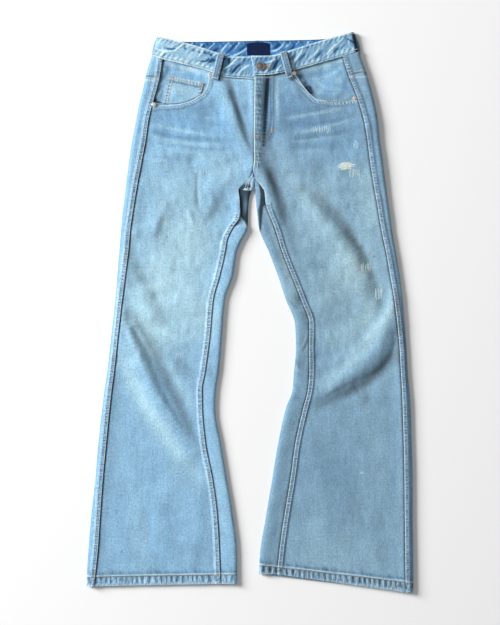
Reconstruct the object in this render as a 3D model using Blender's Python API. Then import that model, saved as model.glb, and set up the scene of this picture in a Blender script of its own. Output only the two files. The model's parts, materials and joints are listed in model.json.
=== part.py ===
"""Bootcut jeans laid flat on their back, the waist away from the viewer.

Sizes are in millimetres and become metres as each mesh is made. +X is to the viewer's right, +Y runs
from the hems to the waist and +Z is up, off the surface that the jeans lie on. The origin is the centre
of the underside. "Left" and "right" are the viewer's.
"""

from collections import namedtuple

import bpy
import bmesh
import numpy as np

MM = 0.001

# Cloth
DENIM = 1.2  # one layer of denim
HEM_WALL = 2.2  # the turned-up hem, against one layer
HEM_HEIGHT = 19.0
BAND_WALL = 2.6  # the waistband is two layers
SEAM_BAND = 11.0  # width of a felled seam's raised band
SEAM_RAISE = 0.8
SEAM_GAP = 0.3  # between neighbouring pieces
WAIST_GAP = 0.5  # between the waistband and what is sewn to it
YOKE_GAP = 0.7  # the same on the underside

# Rolled side edges
ROLL_WIDTH = 7.0  # how far in from the outline the upper face starts to turn down
ROLL_CENTRE = 0.45  # height of the outermost line, as a share of the height beside it
ROLL_STEPS = 3  # faces in each quarter turn
EDGE_BULGE = 2.2  # extra height beside a rolled edge
EDGE_BULGE_AT = 9.0
EDGE_BULGE_WIDTH = 17.0
NARROW_ROLL = 0.55  # where a strip is narrow, its edge rolls over this share of it
FOLD_FREE = 22.0  # folds reach their full height this far in from an edge
FOLD_ENDS = (0.12, 0.88)  # each fold's ends, as shares of half a wave

# Rows and columns of the panels
HEM_TO_LEG = 32.0
LEG_TOP = 122.0
LEG_ROWS = 16
CROTCH_LEVELS = (146, 164, 180, 206, 230, 244, 256)
CROTCH_SEAM = (268.0, 282.0)  # where the last two rows of a leg meet the front panel, ending at the fly
HIP_LEVELS = (304, 326, 348, 370, 392)  # shared rows from the crotch to the pockets
SCOOP_ROWS = 9
SCOOP_FROM = 400.0  # the row from a pocket's rivet meets the fly here
FRONT_COLUMNS = 16
FLOOR_COLUMNS = 5
OPEN_COLUMNS = 8  # the columns of a back panel that end at the crotch
FACING_ROWS = 8

# Underside
WAIST_RAISE = 1.8  # the yoke rises off the surface beside the waistband
WAIST_RAISE_AT = (462.0, 492.0)
BAND_BASE = 1.8  # the back waistband lies on its belt loops
POCKET_RAISE = 1.5  # the back panels lie over the back pockets
POCKET_MARGIN = 40.0

# Fly
LAP_HEIGHT = 2.2  # the right front lies this much above the left one at the fly
LAP_WIDTH = 8.0  # how far the left front runs on under it
LAP_START = (345.0, 365.0)  # the left front runs on under the right one from here up
LAP_END = (440.0, 458.0)
FLY_BASE = 304.0  # the right front starts to rise over the left one
LAP_FADE = (14.0, 44.0)  # its rise fades out between these distances from its edge
FLY_TOP = 476.0
OUTSEAM_TOP = 507.0

# Waistband
BAND_ROLL_WIDTH = 8.0
OVERLAP_END = 2.0
OVERLAP_SLANT = 6.5  # its end is that much further right at the seam
UNDERLAP_FROM = 8.5  # the left end of the band lies under the right one from here
UNDERLAP_STEPS = (14.0, 28.0, 42.0)

# Small pieces
FACING_DROP = 1.7  # the pocket facings lie under the front panels
FACING_TUCK = 9.0
FACING_END = 0.15  # how far up the scoop the facing's lowest row ends, as a share of it
FACING_BELOW = 7.0  # how far below the rivet it reaches at the outseam
COIN_CLEAR = 2.8  # between the coin pocket's lower end and the scoop
LOOP_WIDTH = 13.0
LOOP_THICKNESS = 1.6
LOW_LOOP_THICKNESS = 1.4
LOOP_REST = 0.35  # clearance under a loop's sewn ends
LOOP_ARCH = 2.0
LOOP_NEAR = 0.16  # a loop clears what lies this share of its length up and down from each place
LOOP_ASIDE = 7.0
RIVET_RADIUS = 4.2
RIVET_PROFILE = ((0, 0), (4.2, 0), (4.2, 0.5), (3.36, 1.1), (1.68, 1.4), (0, 1.5))
BUTTON_PROFILE = ((0, 0), (4.2, 0), (4.2, 0.8), (7.56, 0.8), (8.4, 1.4), (8.4, 2.2), (7.56, 2.8), (0, 2.6))
LABEL_SIZE = (46.0, 24.0)
LABEL_THICKNESS = 0.6

Colour = namedtuple("Colour", "red green blue roughness metallic")
DENIM_COLOUR = Colour(0.36, 0.58, 0.74, 0.85, 0.0)
LABEL_COLOUR = Colour(0.02, 0.03, 0.12, 0.8, 0.0)
BUTTON_COLOUR = Colour(0.22, 0.19, 0.17, 0.4, 1.0)
RIVET_COLOUR = Colour(0.72, 0.50, 0.42, 0.35, 1.0)

# Outlines and seams of each half, from the hem to the waist. outer is the outside edge, outseam and seam
# are the joins of the front and back panels, where seam is the inseam up to the crotch and the fly above
# it, and inner is the inside edge of the leg, which ends at the crotch.
Side = namedtuple("Side", "y outer outseam seam inner")
LEFT = [
    Side(-548, -328, -311, -58, -25.4),
    Side(-480, -324, -303.6, -60.4, -26),
    Side(-408, -318, -298.6, -64.5, -34),
    Side(-336, -310, -293.4, -73.8, -46),
    Side(-264, -304, -286.6, -88, -58),
    Side(-192, -296, -279.6, -94.6, -69.6),
    Side(-156, -291.6, -275.6, -95.2, -68),
    Side(-120, -286, -270.8, -89, -62),
    Side(-48, -278, -262.8, -79.4, -56),
    Side(24, -270, -254.6, -72.8, -50),
    Side(72, -266, -248.4, -60, -34),
    Side(120, -262, -242.4, -49, -26),
    Side(144, -260, -240.2, -45, -16),
    Side(168, -258, -238, -34, -4.4),
    Side(192, -256, -234.4, -19.6, -4),
    Side(224, -252, -229.4, -20.6, -2),
    Side(244, -249.6, -226, -23, 3.4),
    Side(256, -248, -224, -14, 6.2),
    Side(268, -247, -222, -2, 6.8),
    Side(284, -244.6, -218.6, 5, 7),
    Side(304, -242, -215, 7.4, 7.2),
    Side(344, -236, -207.4, 7, 7.2),
    Side(384, -228, -201.6, 7.6, 7.2),
    Side(416, -222, -194, 8, 7.2),
    Side(448, -214, -185, 8.4, 7.2),
    Side(476, -208, -178.6, 8.2, 7.2),
    Side(500, -200.6, -175, 6, 7.2),
    Side(514, -196.6, -173.4, 5, 7.2),
]
RIGHT = [
    Side(-562, 326.4, 311, 53.4, 17.2),
    Side(-528, 327.4, 310.4, 53.8, 17.6),
    Side(-480, 327, 309.8, 58, 20.4),
    Side(-408, 326, 309, 68, 32),
    Side(-336, 326, 308.4, 80, 44),
    Side(-264, 324, 307, 90, 56),
    Side(-192, 322, 304.8, 106, 72),
    Side(-156, 319.4, 303.4, 115, 85),
    Side(-120, 316, 301.2, 118, 88),
    Side(-72, 313.6, 298.6, 117.4, 92),
    Side(-24, 310, 294, 118, 90),
    Side(24, 306, 288, 102, 72),
    Side(72, 300, 280, 83, 56),
    Side(120, 292, 271.6, 64, 38),
    Side(168, 284, 261.6, 49, 18),
    Side(192, 281, 257.4, 39, 15),
    Side(216, 277.4, 253.6, 31, 12.4),
    Side(240, 274, 249.4, 29, 10),
    Side(256, 272, 246.6, 19, 8),
    Side(268, 270.4, 244.6, 9, 7.6),
    Side(284, 268.4, 242, 5.6, 7.4),
    Side(304, 266, 239, 8, 7.2),
    Side(344, 260, 234, 7.4, 7.2),
    Side(384, 256, 227, 7.8, 7.2),
    Side(416, 250, 218, 8.2, 7.2),
    Side(448, 242, 206.6, 8.6, 7.2),
    Side(476, 234, 195.2, 8.6, 7.2),
    Side(500, 225, 187.4, 7, 7.2),
    Side(514, 220, 183.4, 5, 7.2),
]
CROTCH = 268.0
INSEAM_SHOWS = {"left": (190.0, 202.0), "right": (214.0, 224.0)}  # its raised band turns under above these
KNEE = -300.0  # the hems' slant fades out here
HEM_ENDS = {"left": (-549.0, -544.0), "right": (-561.2, -525.0)}  # y at the outer and inner edge

# Height of the upper face down the garment, away from its edges and folds
Lift = namedtuple("Lift", "y height")
LIFT = [
    Lift(-562, 5.4),
    Lift(-500, 4.6),
    Lift(-300, 4.2),
    Lift(0, 4.4),
    Lift(180, 5.0),
    Lift(270, 5.8),
    Lift(380, 6.6),
    Lift(520, 6.6),
]

# The largest folds: ridges along a bent line from a over b to c, each with its height and half width
Fold = namedtuple("Fold", "ax ay bx by cx cy height width")
FOLDS = [
    Fold(-66, 462, -44, 410, -8, 322, 3.0, 15),
    Fold(-254, -6, -196, -150, -118, -278, 6.0, 24),
    Fold(-160, 214, -186, 176, -196, 134, 1.6, 16),
    Fold(-246, 110, -216, 30, -160, -30, 1.6, 18),
    Fold(8, 300, 38, 246, 56, 170, 3.6, 12),
    Fold(88, 232, 172, 152, 240, 20, 4.2, 20),
    Fold(288, 20, 246, -84, 136, -158, 5.8, 22),
    Fold(12, 470, 14, 420, 16, 352, 1.4, 9),
]

# How far the narrow strip of back panel lies below the front panel at the crotch: a flap of the back
# seam stands up just under the crotch, and the inner thigh behind it is hollow.
Hollow = namedtuple("Hollow", "y left right")
HOLLOW = [
    Hollow(120, 0.0, 0.0),
    Hollow(146, 0.0, 1.0),
    Hollow(168, 0.2, 2.4),
    Hollow(176, 2.4, 2.8),
    Hollow(230, 3.0, 3.0),
    Hollow(243, 2.6, 2.4),
    Hollow(250, 0.0, 1.6),
    Hollow(268, 0.0, 0.4),
]

# The pocket scoops, from the rivet at the outseam to the waistband
Point = namedtuple("Point", "x y")
SCOOP = {
    "left": [
        Point(-192.6, 411),
        Point(-180, 413.6),
        Point(-160, 414.2),
        Point(-140, 416),
        Point(-115, 424),
        Point(-93.6, 438.2),
        Point(-85.6, 452.6),
        Point(-82.8, 468),
        Point(-82.2, 481.8),
    ],
    "right": [
        Point(217.6, 424),
        Point(204, 425),
        Point(190, 422.6),
        Point(162, 420.8),
        Point(133.2, 425.6),
        Point(117.8, 438.2),
        Point(104.4, 455.4),
        Point(94, 471),
        Point(87.4, 483),
    ],
}

# The front waistband's two long edges and its height, along x; the seam is where the panels meet it.
Waist = namedtuple("Waist", "x top seam height")
WAIST_LEFT = [
    Waist(-200, 554, 513.6, 8.6),
    Waist(-174, 549, 505.2, 8.6),
    Waist(-140, 541, 497, 8.2),
    Waist(-98, 529.4, 486.4, 8.0),
    Waist(-65, 518.6, 476, 8.0),
    Waist(-46, 511.8, 469.6, 7.9),
    Waist(-20, 511, 467.6, 7.6),
    Waist(8.5, 511.4, 466, 7.3),
    Waist(14, 511.4, 475, 7.3),
    Waist(42, 511.6, 476, 7.3),
]
WAIST_RIGHT = [
    Waist(1, 511.8, 472.4, 11.0),
    Waist(36, 512, 473.6, 11.0),
    Waist(60, 516.6, 477.4, 10.0),
    Waist(84, 524.4, 482.4, 8.6),
    Waist(148, 544.4, 500.4, 8.2),
    Waist(185, 554.8, 511, 8.4),
    Waist(208, 560.2, 519, 8.6),
    Waist(222, 562, 523.4, 8.6),
]
WAIST_BACK = [
    Waist(-200, 554, 513.6, BAND_BASE),
    Waist(-160, 543.6, 505, BAND_BASE),
    Waist(-120, 541.4, 503, BAND_BASE),
    Waist(24, 543.6, 505, BAND_BASE),
    Waist(120, 545.4, 507, BAND_BASE),
    Waist(150, 547, 508.4, BAND_BASE),
    Waist(208, 560.2, 519, BAND_BASE),
    Waist(222, 562, 523.4, BAND_BASE),
]
# The waistband's outermost line at each side, at its top edge and at its seam
BandSide = namedtuple("BandSide", "top_x seam_x")
BAND_SIDE = {"left": BandSide(-186.0, -196.6), "right": BandSide(208.4, 216.6)}

# The yoke seams' ends, and the back pockets
Yoke = namedtuple("Yoke", "outseam outer centre")
YOKE = {"left": Yoke(472.6, 477.0, 430.0), "right": Yoke(479.0, 486.0, 430.0)}
BackPocket = namedtuple("BackPocket", "x top bottom point half_width half_base")
BACK_POCKETS = {
    "left": BackPocket(-104, 408, 276, 254, 72, 62),
    "right": BackPocket(122, 408, 276, 254, 72, 62),
}
BACK_RISE = 7.2  # x of the seam down the middle of the back
CoinPocket = namedtuple("CoinPocket", "left_x left_y right_x right_y base_left_x base_right_x")
COIN_POCKET = CoinPocket(-161.4, 472.2, -92.4, 458.0, -174.0, -97.0)

# Front belt loops, from the middle of the upper end to the middle of the lower end
Loop = namedtuple("Loop", "ax ay bx by")
FRONT_LOOPS = {"left": Loop(-57.6, 517.4, -70.2, 464.6), "right": Loop(65.6, 520.4, 80.2, 466.8)}
# Loops that lie under the waistband: each one's middle line, with how far the middle bows outwards
LOW_LOOPS = {
    "side_left": (Loop(-179.6, 551.0, -191.0, 505.0), -3.0),
    "side_right": (Loop(202.4, 559.0, 214.0, 503.0), 5.5),
    "back": (Loop(16.0, 544.0, 16.0, 497.0), 0.0),
}
RIVETS = [Point(-192.4, 415.0), Point(-79.4, 473.6), Point(88.4, 477.6), Point(209.6, 427.6)]
BUTTON = Point(20.8, 490.4)
LABEL = Point(17.0, 526.0)


def curve(table, along, field, at):
    """One column's value at a place along the table, on a smooth curve through its rows."""
    knots = np.array([getattr(row, along) for row in table], float)
    values = np.array([getattr(row, field) for row in table], float)
    order = np.argsort(knots)
    knots, values = knots[order], values[order]
    steps = np.diff(values) / np.diff(knots)
    slopes = np.concatenate([steps[:1], np.zeros(len(steps) - 1), steps[-1:]])
    same_way = steps[:-1] * steps[1:] > 0
    slopes[1:-1][same_way] = 2 * (steps[:-1] * steps[1:])[same_way] / (steps[:-1] + steps[1:])[same_way]
    at = np.clip(at, knots[0], knots[-1])
    i = np.clip(np.searchsorted(knots, at, side="right") - 1, 0, len(steps) - 1)
    span = knots[i + 1] - knots[i]
    t = (at - knots[i]) / span
    hermite = (2 * t**3 - 3 * t**2 + 1) * values[i] + (3 * t**2 - 2 * t**3) * values[i + 1]
    return hermite + span * ((t**3 - 2 * t**2 + t) * slopes[i] + (t**3 - t**2) * slopes[i + 1])


def ease(value, start, end):
    """0 at the start, 1 at the end, and smooth between."""
    t = np.clip((np.asarray(value, float) - start) / (end - start), 0, 1)
    return t * t * (3 - 2 * t)


def table_of(side):
    return LEFT if side == "left" else RIGHT


def outward(side):
    return -1 if side == "left" else 1


def edge_x(side, field, y):
    return curve(table_of(side), "y", field, y)


def fold_height(x, y):
    """What the folds add: each is a ridge along a quadratic curve, fading out at both ends."""
    total = np.zeros(np.shape(x))
    t = np.linspace(0, 1, 25)

    def through(a, b, c):
        return (1 - t) ** 2 * a + 2 * t * (1 - t) * (2 * b - (a + c) / 2) + t**2 * c

    for fold in FOLDS:
        line_x, line_y = through(fold.ax, fold.bx, fold.cx), through(fold.ay, fold.by, fold.cy)
        away = np.hypot(np.asarray(x)[..., None] - line_x, np.asarray(y)[..., None] - line_y)
        nearest = away.argmin(-1)
        fade = np.sin(np.pi * lerp(*FOLD_ENDS, t[nearest])) ** 1.2
        total = total + fold.height * fade * np.exp(-((away.min(-1) / fold.width) ** 2))
    return total


def top_height(side, x, y):
    """Height of the garment's upper face."""
    x, y = np.asarray(x, float), np.asarray(y, float)
    inside = outward(side) * (edge_x(side, "outer", y) - x)
    gap_to_inner = outward(side) * (x - edge_x(side, "inner", y))
    to_inner = np.where(y < CROTCH - 20, gap_to_inner, 99)
    near = np.minimum(inside, to_inner)
    beyond = (np.maximum(near, EDGE_BULGE_AT) - EDGE_BULGE_AT) / EDGE_BULGE_WIDTH
    bulge = EDGE_BULGE * np.exp(-(beyond**2))
    fold_fade = ease(near, 0, FOLD_FREE)
    return curve(LIFT, "y", "height", y) + bulge + fold_fade * fold_height(x, y)


def floor_height(x, y):
    """Height of the garment's underside: 0 but over the back pockets and the waistband's belt loops."""
    x, y = np.asarray(x, float), np.asarray(y, float)
    raised = WAIST_RAISE * ease(y, *WAIST_RAISE_AT)
    for pocket in BACK_POCKETS.values():
        over = np.abs(x - pocket.x) < pocket.half_width + POCKET_MARGIN
        over &= (y > pocket.point - POCKET_MARGIN) & (y < pocket.top + POCKET_MARGIN)
        raised = np.where(over, np.maximum(raised, POCKET_RAISE), raised)
    return raised


def lerp(start, end, share):
    return start + (end - start) * share


def material_of(name, colour):
    material = bpy.data.materials.new(name)
    material.use_nodes = True
    shader = material.node_tree.nodes["Principled BSDF"]
    shader.inputs["Base Color"].default_value = (colour.red, colour.green, colour.blue, 1)
    shader.inputs["Roughness"].default_value = colour.roughness
    shader.inputs["Metallic"].default_value = colour.metallic
    return material


def object_of(name, bm, colour):
    bmesh.ops.recalc_face_normals(bm, faces=bm.faces)
    mesh = bpy.data.meshes.new(name)
    bm.to_mesh(mesh)
    bm.free()
    mesh.materials.append(material_of(name, colour))
    piece = bpy.data.objects.new(name, mesh)
    bpy.context.collection.objects.link(piece)
    return piece


def cloth(name, outer, inner, colour, keep=None):
    """One closed piece of cloth from its outer and inner faces, each a grid of points [row][column]."""
    outer, inner = np.asarray(outer), np.asarray(inner)
    rows, columns = outer.shape[:2]
    keep = np.ones((rows - 1, columns - 1), bool) if keep is None else keep
    bm = bmesh.new()
    made = {}

    def vertex(face, place):
        if (face, place) not in made:
            point = (outer, inner)[face][place]
            made[face, place] = bm.verts.new(point * MM)
        return made[face, place]

    edges = set()
    for r, c in zip(*np.nonzero(keep)):
        corners = [(r, c), (r, c + 1), (r + 1, c + 1), (r + 1, c)]
        bm.faces.new([vertex(0, corner) for corner in corners])
        bm.faces.new([vertex(1, corner) for corner in reversed(corners)])
        edges.update(zip(corners, corners[1:] + corners[:1]))
    for start, end in sorted(edges):
        if (end, start) not in edges:
            bm.faces.new([vertex(0, end), vertex(0, start), vertex(1, start), vertex(1, end)])
    return object_of(name, bm, colour)


def turned(name, profile, x, y, base, colour, steps=18):
    """A round piece from its profile of (radius, height), spun about its own axis."""
    bm = bmesh.new()
    ring = [bm.verts.new((radius * MM, 0, height * MM)) for radius, height in profile]
    edges = [bm.edges.new(pair) for pair in zip(ring, ring[1:])]
    bmesh.ops.spin(bm, geom=ring + edges, axis=(0, 0, 1), cent=(0, 0, 0), angle=2 * np.pi, steps=steps)
    bmesh.ops.remove_doubles(bm, verts=bm.verts, dist=0.00001)
    piece = object_of(name, bm, colour)
    piece.location = (x * MM, y * MM, base * MM)
    return piece


def wall_at(side, y):
    """Thickness of the cloth: double in the turned-up hem."""
    return HEM_WALL if y < hem_middle(side) + HEM_HEIGHT + 0.5 else DENIM


def hem_middle(side):
    return sum(HEM_ENDS[side]) / 2


def slanted(side, y):
    """The row's y at the outer and the inner edge: level, but slanting with the hem near it."""
    hem_outer, hem_inner = HEM_ENDS[side]
    middle = hem_middle(side)
    share = 1 - ease(y, middle, KNEE)
    return y + (hem_outer - middle) * share, y + (hem_inner - middle) * share


def leg_levels(side):
    """Rows that the front and back panels of a leg share, from the hem to the crotch."""
    hem = hem_middle(side)
    turn_up = hem + HEM_HEIGHT
    leg = np.linspace(turn_up + HEM_TO_LEG, LEG_TOP, LEG_ROWS)
    return [hem, turn_up, turn_up + 2, *leg, *CROTCH_LEVELS]


def roll(edge, direction, width, top, base, wall, first, last):
    """Points round a rolled edge from one angle to another: 90 is its upper face, -90 its underside."""
    centre = base + ROLL_CENTRE * (top - base)
    outer, inner = [], []
    for angle in np.linspace(np.radians(first), np.radians(last), ROLL_STEPS + 1):
        reach = top - centre if angle > 0 else centre - base
        for points, cut in ((outer, 0), (inner, wall)):
            along = width - (width - cut) * np.cos(angle)
            x, y = edge + direction * along
            points.append((x, y, centre + (reach - cut) * np.sin(angle)))
    return outer, inner


def unit(start, end):
    return (end - start) / np.hypot(*(end - start))


def roll_width(edge, seam):
    return min(ROLL_WIDTH, NARROW_ROLL * np.hypot(*(seam - edge)))


def strip(side, seam, edge, raised, drop, wall):
    """The upper face from a seam to where the edge starts to roll."""
    end = edge + unit(edge, seam) * roll_width(edge, seam)
    outer, inner = [], []
    for share in (0, 0.5, 1):
        x, y = lerp(seam, end, share)
        z = float(top_height(side, x, y)) - drop
        outer.append((x, y, z + raised))
        inner.append((x, y, z - wall))
    return outer, inner


def edge_point(side, field, y, gap=0.0):
    """A place on an outline or seam, moved outwards by the gap."""
    return np.array([float(edge_x(side, field, y)) + outward(side) * gap, y])


def inner_half(side, y_inner, y_seam, towards, wall):
    """A back panel's section from the inseam round the leg's inner edge."""
    edge = edge_point(side, "inner", y_inner, SEAM_GAP / 2)
    seam = edge_point(side, "seam", y_seam, -SEAM_GAP / 2)
    drop = float(curve(HOLLOW, "y", side, y_seam))
    outer, inner = strip(side, seam, edge, 0, drop, wall)
    width = roll_width(edge, seam)
    for direction, angles in ((unit(edge, seam), (90, 0)), (unit(edge, towards), (0, -90))):
        points, under = roll(edge, direction, width, outer[2][2], 0, wall, *angles)
        outer += points[1:]
        inner += under[1:]
    return outer, inner


def outer_half(side, y_outseam, y_outer, start, wall):
    """A back panel's section from the middle of the underside round the outer edge to the outseam."""
    edge = edge_point(side, "outer", y_outer)
    seam = edge_point(side, "outseam", y_outseam, SEAM_GAP / 2)
    width = roll_width(edge, seam)
    under_end = edge + unit(edge, start) * width
    outer, inner = [], []
    for share in np.linspace(0, 1, FLOOR_COLUMNS + 2)[1:-1]:
        x, y = lerp(start, under_end, share)
        base = float(floor_height(x, y))
        outer.append((x, y, base))
        inner.append((x, y, base + wall))
    upper, upper_under = strip(side, seam, edge, SEAM_RAISE, 0, wall)
    base = float(floor_height(*under_end))
    points, under = roll(edge, unit(edge, start), width, upper[2][2], base, wall, -90, 0)
    outer += points
    inner += under
    points, under = roll(edge, unit(edge, seam), width, upper[2][2], base, wall, 0, 90)
    outer += points[1:-1] + upper[::-1]
    inner += under[1:-1] + upper_under[::-1]
    return outer, inner


def leg_section(side, y_outer, y_inner, y_seam, wall):
    """A back panel's whole section below the crotch, from the inseam under the leg to the outseam."""
    towards = edge_point(side, "outer", y_outer)
    outer, inner = inner_half(side, y_inner, y_seam, towards, wall)
    start = np.array(outer[-1][:2])
    more, more_inner = outer_half(side, y_outer, y_outer, start, wall)
    return outer + more, inner + more_inner


def hip_section(side, y_outseam, y_outer, y_centre):
    """A back panel's or yoke's section above the crotch, from the middle of the back to the outseam."""
    start = np.array([BACK_RISE + outward(side) * SEAM_GAP / 2, y_centre])
    base = float(floor_height(*start))
    more, more_inner = outer_half(side, y_outseam, y_outer, start, DENIM)
    return [(*start, base)] + more, [(*start, base + DENIM)] + more_inner


def back_panel(side):
    """A back panel: round both edges of its leg, and above the crotch from the outseam to the middle."""
    sections = []
    for y in leg_levels(side):
        y_out, y_in = slanted(side, y)
        sections.append(leg_section(side, y_out, y_in, y_in, wall_at(side, y)))
    below, above = CROTCH_SEAM
    for y, y_inner, y_seam in ((CROTCH - 4, CROTCH - 5, below), (above, CROTCH, above)):
        sections.append(leg_section(side, y, y_inner, y_seam, DENIM))
    leg_rows = len(sections) - 1
    yoke = YOKE[side]
    scoop_y = SCOOP[side][0].y
    upper = [*HIP_LEVELS, scoop_y, *lerp(scoop_y, yoke.outseam, np.linspace(0, 1, 4)[1:])]
    for y in upper:
        share = (y - CROTCH_SEAM[1]) / (yoke.outseam - CROTCH_SEAM[1])
        trim = SEAM_GAP / 2 if y == upper[-1] else 0
        y_outer = y + share * (yoke.outer - yoke.outseam) - trim
        outer, inner = hip_section(side, y - trim, y_outer, lerp(CROTCH_SEAM[1], yoke.centre, share) - trim)
        sections.append(([outer[0]] * OPEN_COLUMNS + outer, [inner[0]] * OPEN_COLUMNS + inner))
    outer, inner = zip(*sections)
    keep = np.ones((len(sections) - 1, len(outer[0]) - 1), bool)
    keep[leg_rows:, :OPEN_COLUMNS] = False
    cloth(f"back_{side}", outer, inner, DENIM_COLOUR, keep)


def front_seam(side, x):
    """y of the waistband's lower edge on the front."""
    table = WAIST_LEFT if side == "left" else WAIST_RIGHT
    return float(curve(table, "x", "seam", x))


def back_seam(x):
    """y of the waistband's lower edge on the back."""
    return float(curve(WAIST_BACK, "x", "seam", x))


def bent(points, seam, weight):
    """A row's points, moved as the seam departs from the straight line between the row's ends."""
    first, last = points[0], points[-1]
    moved = []
    for point in points:
        share = (point[0] - first[0]) / (last[0] - first[0])
        shift = weight * (seam(point[0]) - lerp(seam(first[0]), seam(last[0]), share))
        moved.append((point[0], point[1] + shift, *point[2:]))
    return moved


def yoke_panel(side):
    """A yoke: from the outseam round the side and under to the middle of the back."""
    yoke = YOKE[side]
    top_outseam = front_seam(side, float(edge_x(side, "outseam", OUTSEAM_TOP)))
    top_outer = front_seam(side, BAND_SIDE[side].seam_x)
    top_centre = back_seam(BACK_RISE)
    sections = []
    for share in np.linspace(0, 1, 5):
        trim = SEAM_GAP / 2 if share == 0 else -WAIST_GAP / 2 if share == 1 else 0
        ends = zip((yoke.outseam, yoke.outer, yoke.centre), (top_outseam, top_outer, top_centre))
        outer, inner = hip_section(side, *[lerp(base, top, share) + trim for base, top in ends])
        under = FLOOR_COLUMNS + 2
        for face in (outer, inner):
            moved = bent(face[:under], back_seam, share)
            face[:under] = [(x, y - share * YOKE_GAP, z) for x, y, z in moved]
        sections.append((outer, inner))
    outer, inner = zip(*sections)
    cloth(f"yoke_{side}", outer, inner, DENIM_COLOUR)


def scoop_points(side, shares, tuck=0.0):
    """Points along a pocket scoop, from the outseam to the waistband, moved into the panel by the tuck."""
    line = np.array(SCOOP[side], float)
    line[0, 0] = edge_x(side, "outseam", line[0, 1]) - outward(side) * SEAM_GAP / 2
    run = np.concatenate([[0], np.cumsum(np.hypot(*np.diff(line, axis=0).T))])
    run /= run[-1]

    def at(share):
        return np.column_stack([np.interp(share, run, line[:, 0]), np.interp(share, run, line[:, 1])])

    along = at(np.minimum(shares + 0.02, 1)) - at(np.maximum(shares - 0.02, 0))
    along /= np.hypot(*along.T)[:, None]
    return at(shares) + tuck * outward(side) * np.column_stack([-along[:, 1], along[:, 0]])


def front_rows(side):
    """A front panel's rows: outer end, y at the fly or inseam, wall, and share of the waist's bend."""
    rows = []
    for y in [*leg_levels(side), *CROTCH_SEAM, *HIP_LEVELS]:
        y_out, y_in = slanted(side, y)
        y_out = CROTCH - 4 if y == CROTCH_SEAM[0] else y_out
        rows.append((edge_point(side, "outseam", y_out, -SEAM_GAP / 2), y_in, wall_at(side, y), 0))
    top = front_seam(side, float(edge_x(side, "seam", FLY_TOP))) - WAIST_GAP / 2
    shares = np.linspace(0, 1, SCOOP_ROWS)
    for share, (x, y) in zip(shares, scoop_points(side, shares)):
        y = front_seam(side, x) - WAIST_GAP / 2 if share == 1 else y
        rows.append((np.array([x, y]), lerp(SCOOP_FROM, top, share), DENIM, float(ease(share, 0.4, 1))))
    return rows


def front_panel(side):
    """A front panel, ruled between the outseam and scoop and the inseam and fly."""
    outer, inner = [], []
    for start, y_in, wall, bend in front_rows(side):
        end = edge_point(side, "seam", y_in, SEAM_GAP / 2)
        if side == "left":
            end[0] += LAP_WIDTH * float(ease(y_in, *LAP_START) * (1 - ease(y_in, *LAP_END)))
        width = np.hypot(*(end - start))
        at_band = 1 - SEAM_BAND / width
        shares = [*np.linspace(0, at_band - 2 / width, FRONT_COLUMNS - 2), at_band, 1]
        points = [tuple(lerp(start, end, share)) for share in shares]
        points = bent(points, lambda x: front_seam(side, x), bend)
        raised = SEAM_RAISE * (1 - float(ease(y_in, *INSEAM_SHOWS[side])))
        outer_row, inner_row = [], []
        for column, (x, y) in enumerate(points):
            z = front_height(side, x, y)
            outer_row.append((x, y, z + raised * (column >= FRONT_COLUMNS - 2)))
            inner_row.append((x, y, z - wall))
        outer.append(outer_row)
        inner.append(inner_row)
    cloth(f"front_{side}", outer, inner, DENIM_COLOUR)


def front_height(side, x, y):
    """Height of a front panel's upper face, with the right one's lap at the fly."""
    z = float(top_height(side, x, y))
    if side == "left":
        return z
    from_edge = x - float(edge_x(side, "seam", y))
    return z + LAP_HEIGHT * float(ease(y, FLY_BASE, LAP_START[0]) * (1 - ease(from_edge, *LAP_FADE)))


def facing(side):
    """The denim inside a pocket scoop, from the outseam to a little way under the front panel."""
    y_top = front_seam(side, float(edge_x(side, "outseam", OUTSEAM_TOP))) - WAIST_GAP / 2
    starts = np.linspace(y_top, SCOOP[side][0].y - FACING_BELOW, FACING_ROWS)
    ends = scoop_points(side, np.linspace(1, FACING_END, FACING_ROWS), FACING_TUCK)
    outer, inner = [], []
    for row, (y_out, end) in enumerate(zip(starts, ends)):
        start = edge_point(side, "outseam", y_out, -SEAM_GAP / 2)
        if row == 0:
            end[1] = front_seam(side, end[0]) - WAIST_GAP / 2
        points = [tuple(lerp(start, end, share)) for share in np.linspace(0, 1, 9)]
        points = bent(points, lambda x: front_seam(side, x), max(0, 1 - row / 3))
        heights = [float(top_height(side, x, y)) - FACING_DROP for x, y in points]
        outer.append([(x, y, z) for (x, y), z in zip(points, heights)])
        inner.append([(x, y, z - DENIM) for (x, y), z in zip(points, heights)])
    cloth(f"pocket_facing_{side}", outer, inner, DENIM_COLOUR)


def coin_pocket():
    """The coin pocket on the left facing, its lower edge just clear of the scoop."""
    pocket = COIN_POCKET
    outer, inner = [], []
    for down in np.linspace(0, 1, 6):
        outer_row, inner_row = [], []
        for across in np.linspace(0, 1, 9):
            x_top = lerp(pocket.left_x, pocket.right_x, across)
            y_top = lerp(pocket.left_y, pocket.right_y, across)
            x_base = lerp(pocket.base_left_x, pocket.base_right_x, across)
            y_base = float(curve(SCOOP["left"], "x", "y", x_base)) + COIN_CLEAR
            x, y = lerp(x_top, x_base, down), lerp(y_top, y_base, down)
            z = float(top_height("left", x, y))
            outer_row.append((x, y, z))
            inner_row.append((x, y, z - DENIM))
        outer.append(outer_row)
        inner.append(inner_row)
    cloth("coin_pocket", outer, inner, DENIM_COLOUR)


def band_section(top, seam, z, inner_z):
    """One section of the waistband from its top edge to its seam, on its outer and its inner face."""
    across = [lerp(np.array(top), np.array(seam), share) for share in (0, 0.5, 1)]
    return [(x, y, z) for x, y in across], [(x, y, inner_z) for x, y in across]


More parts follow.
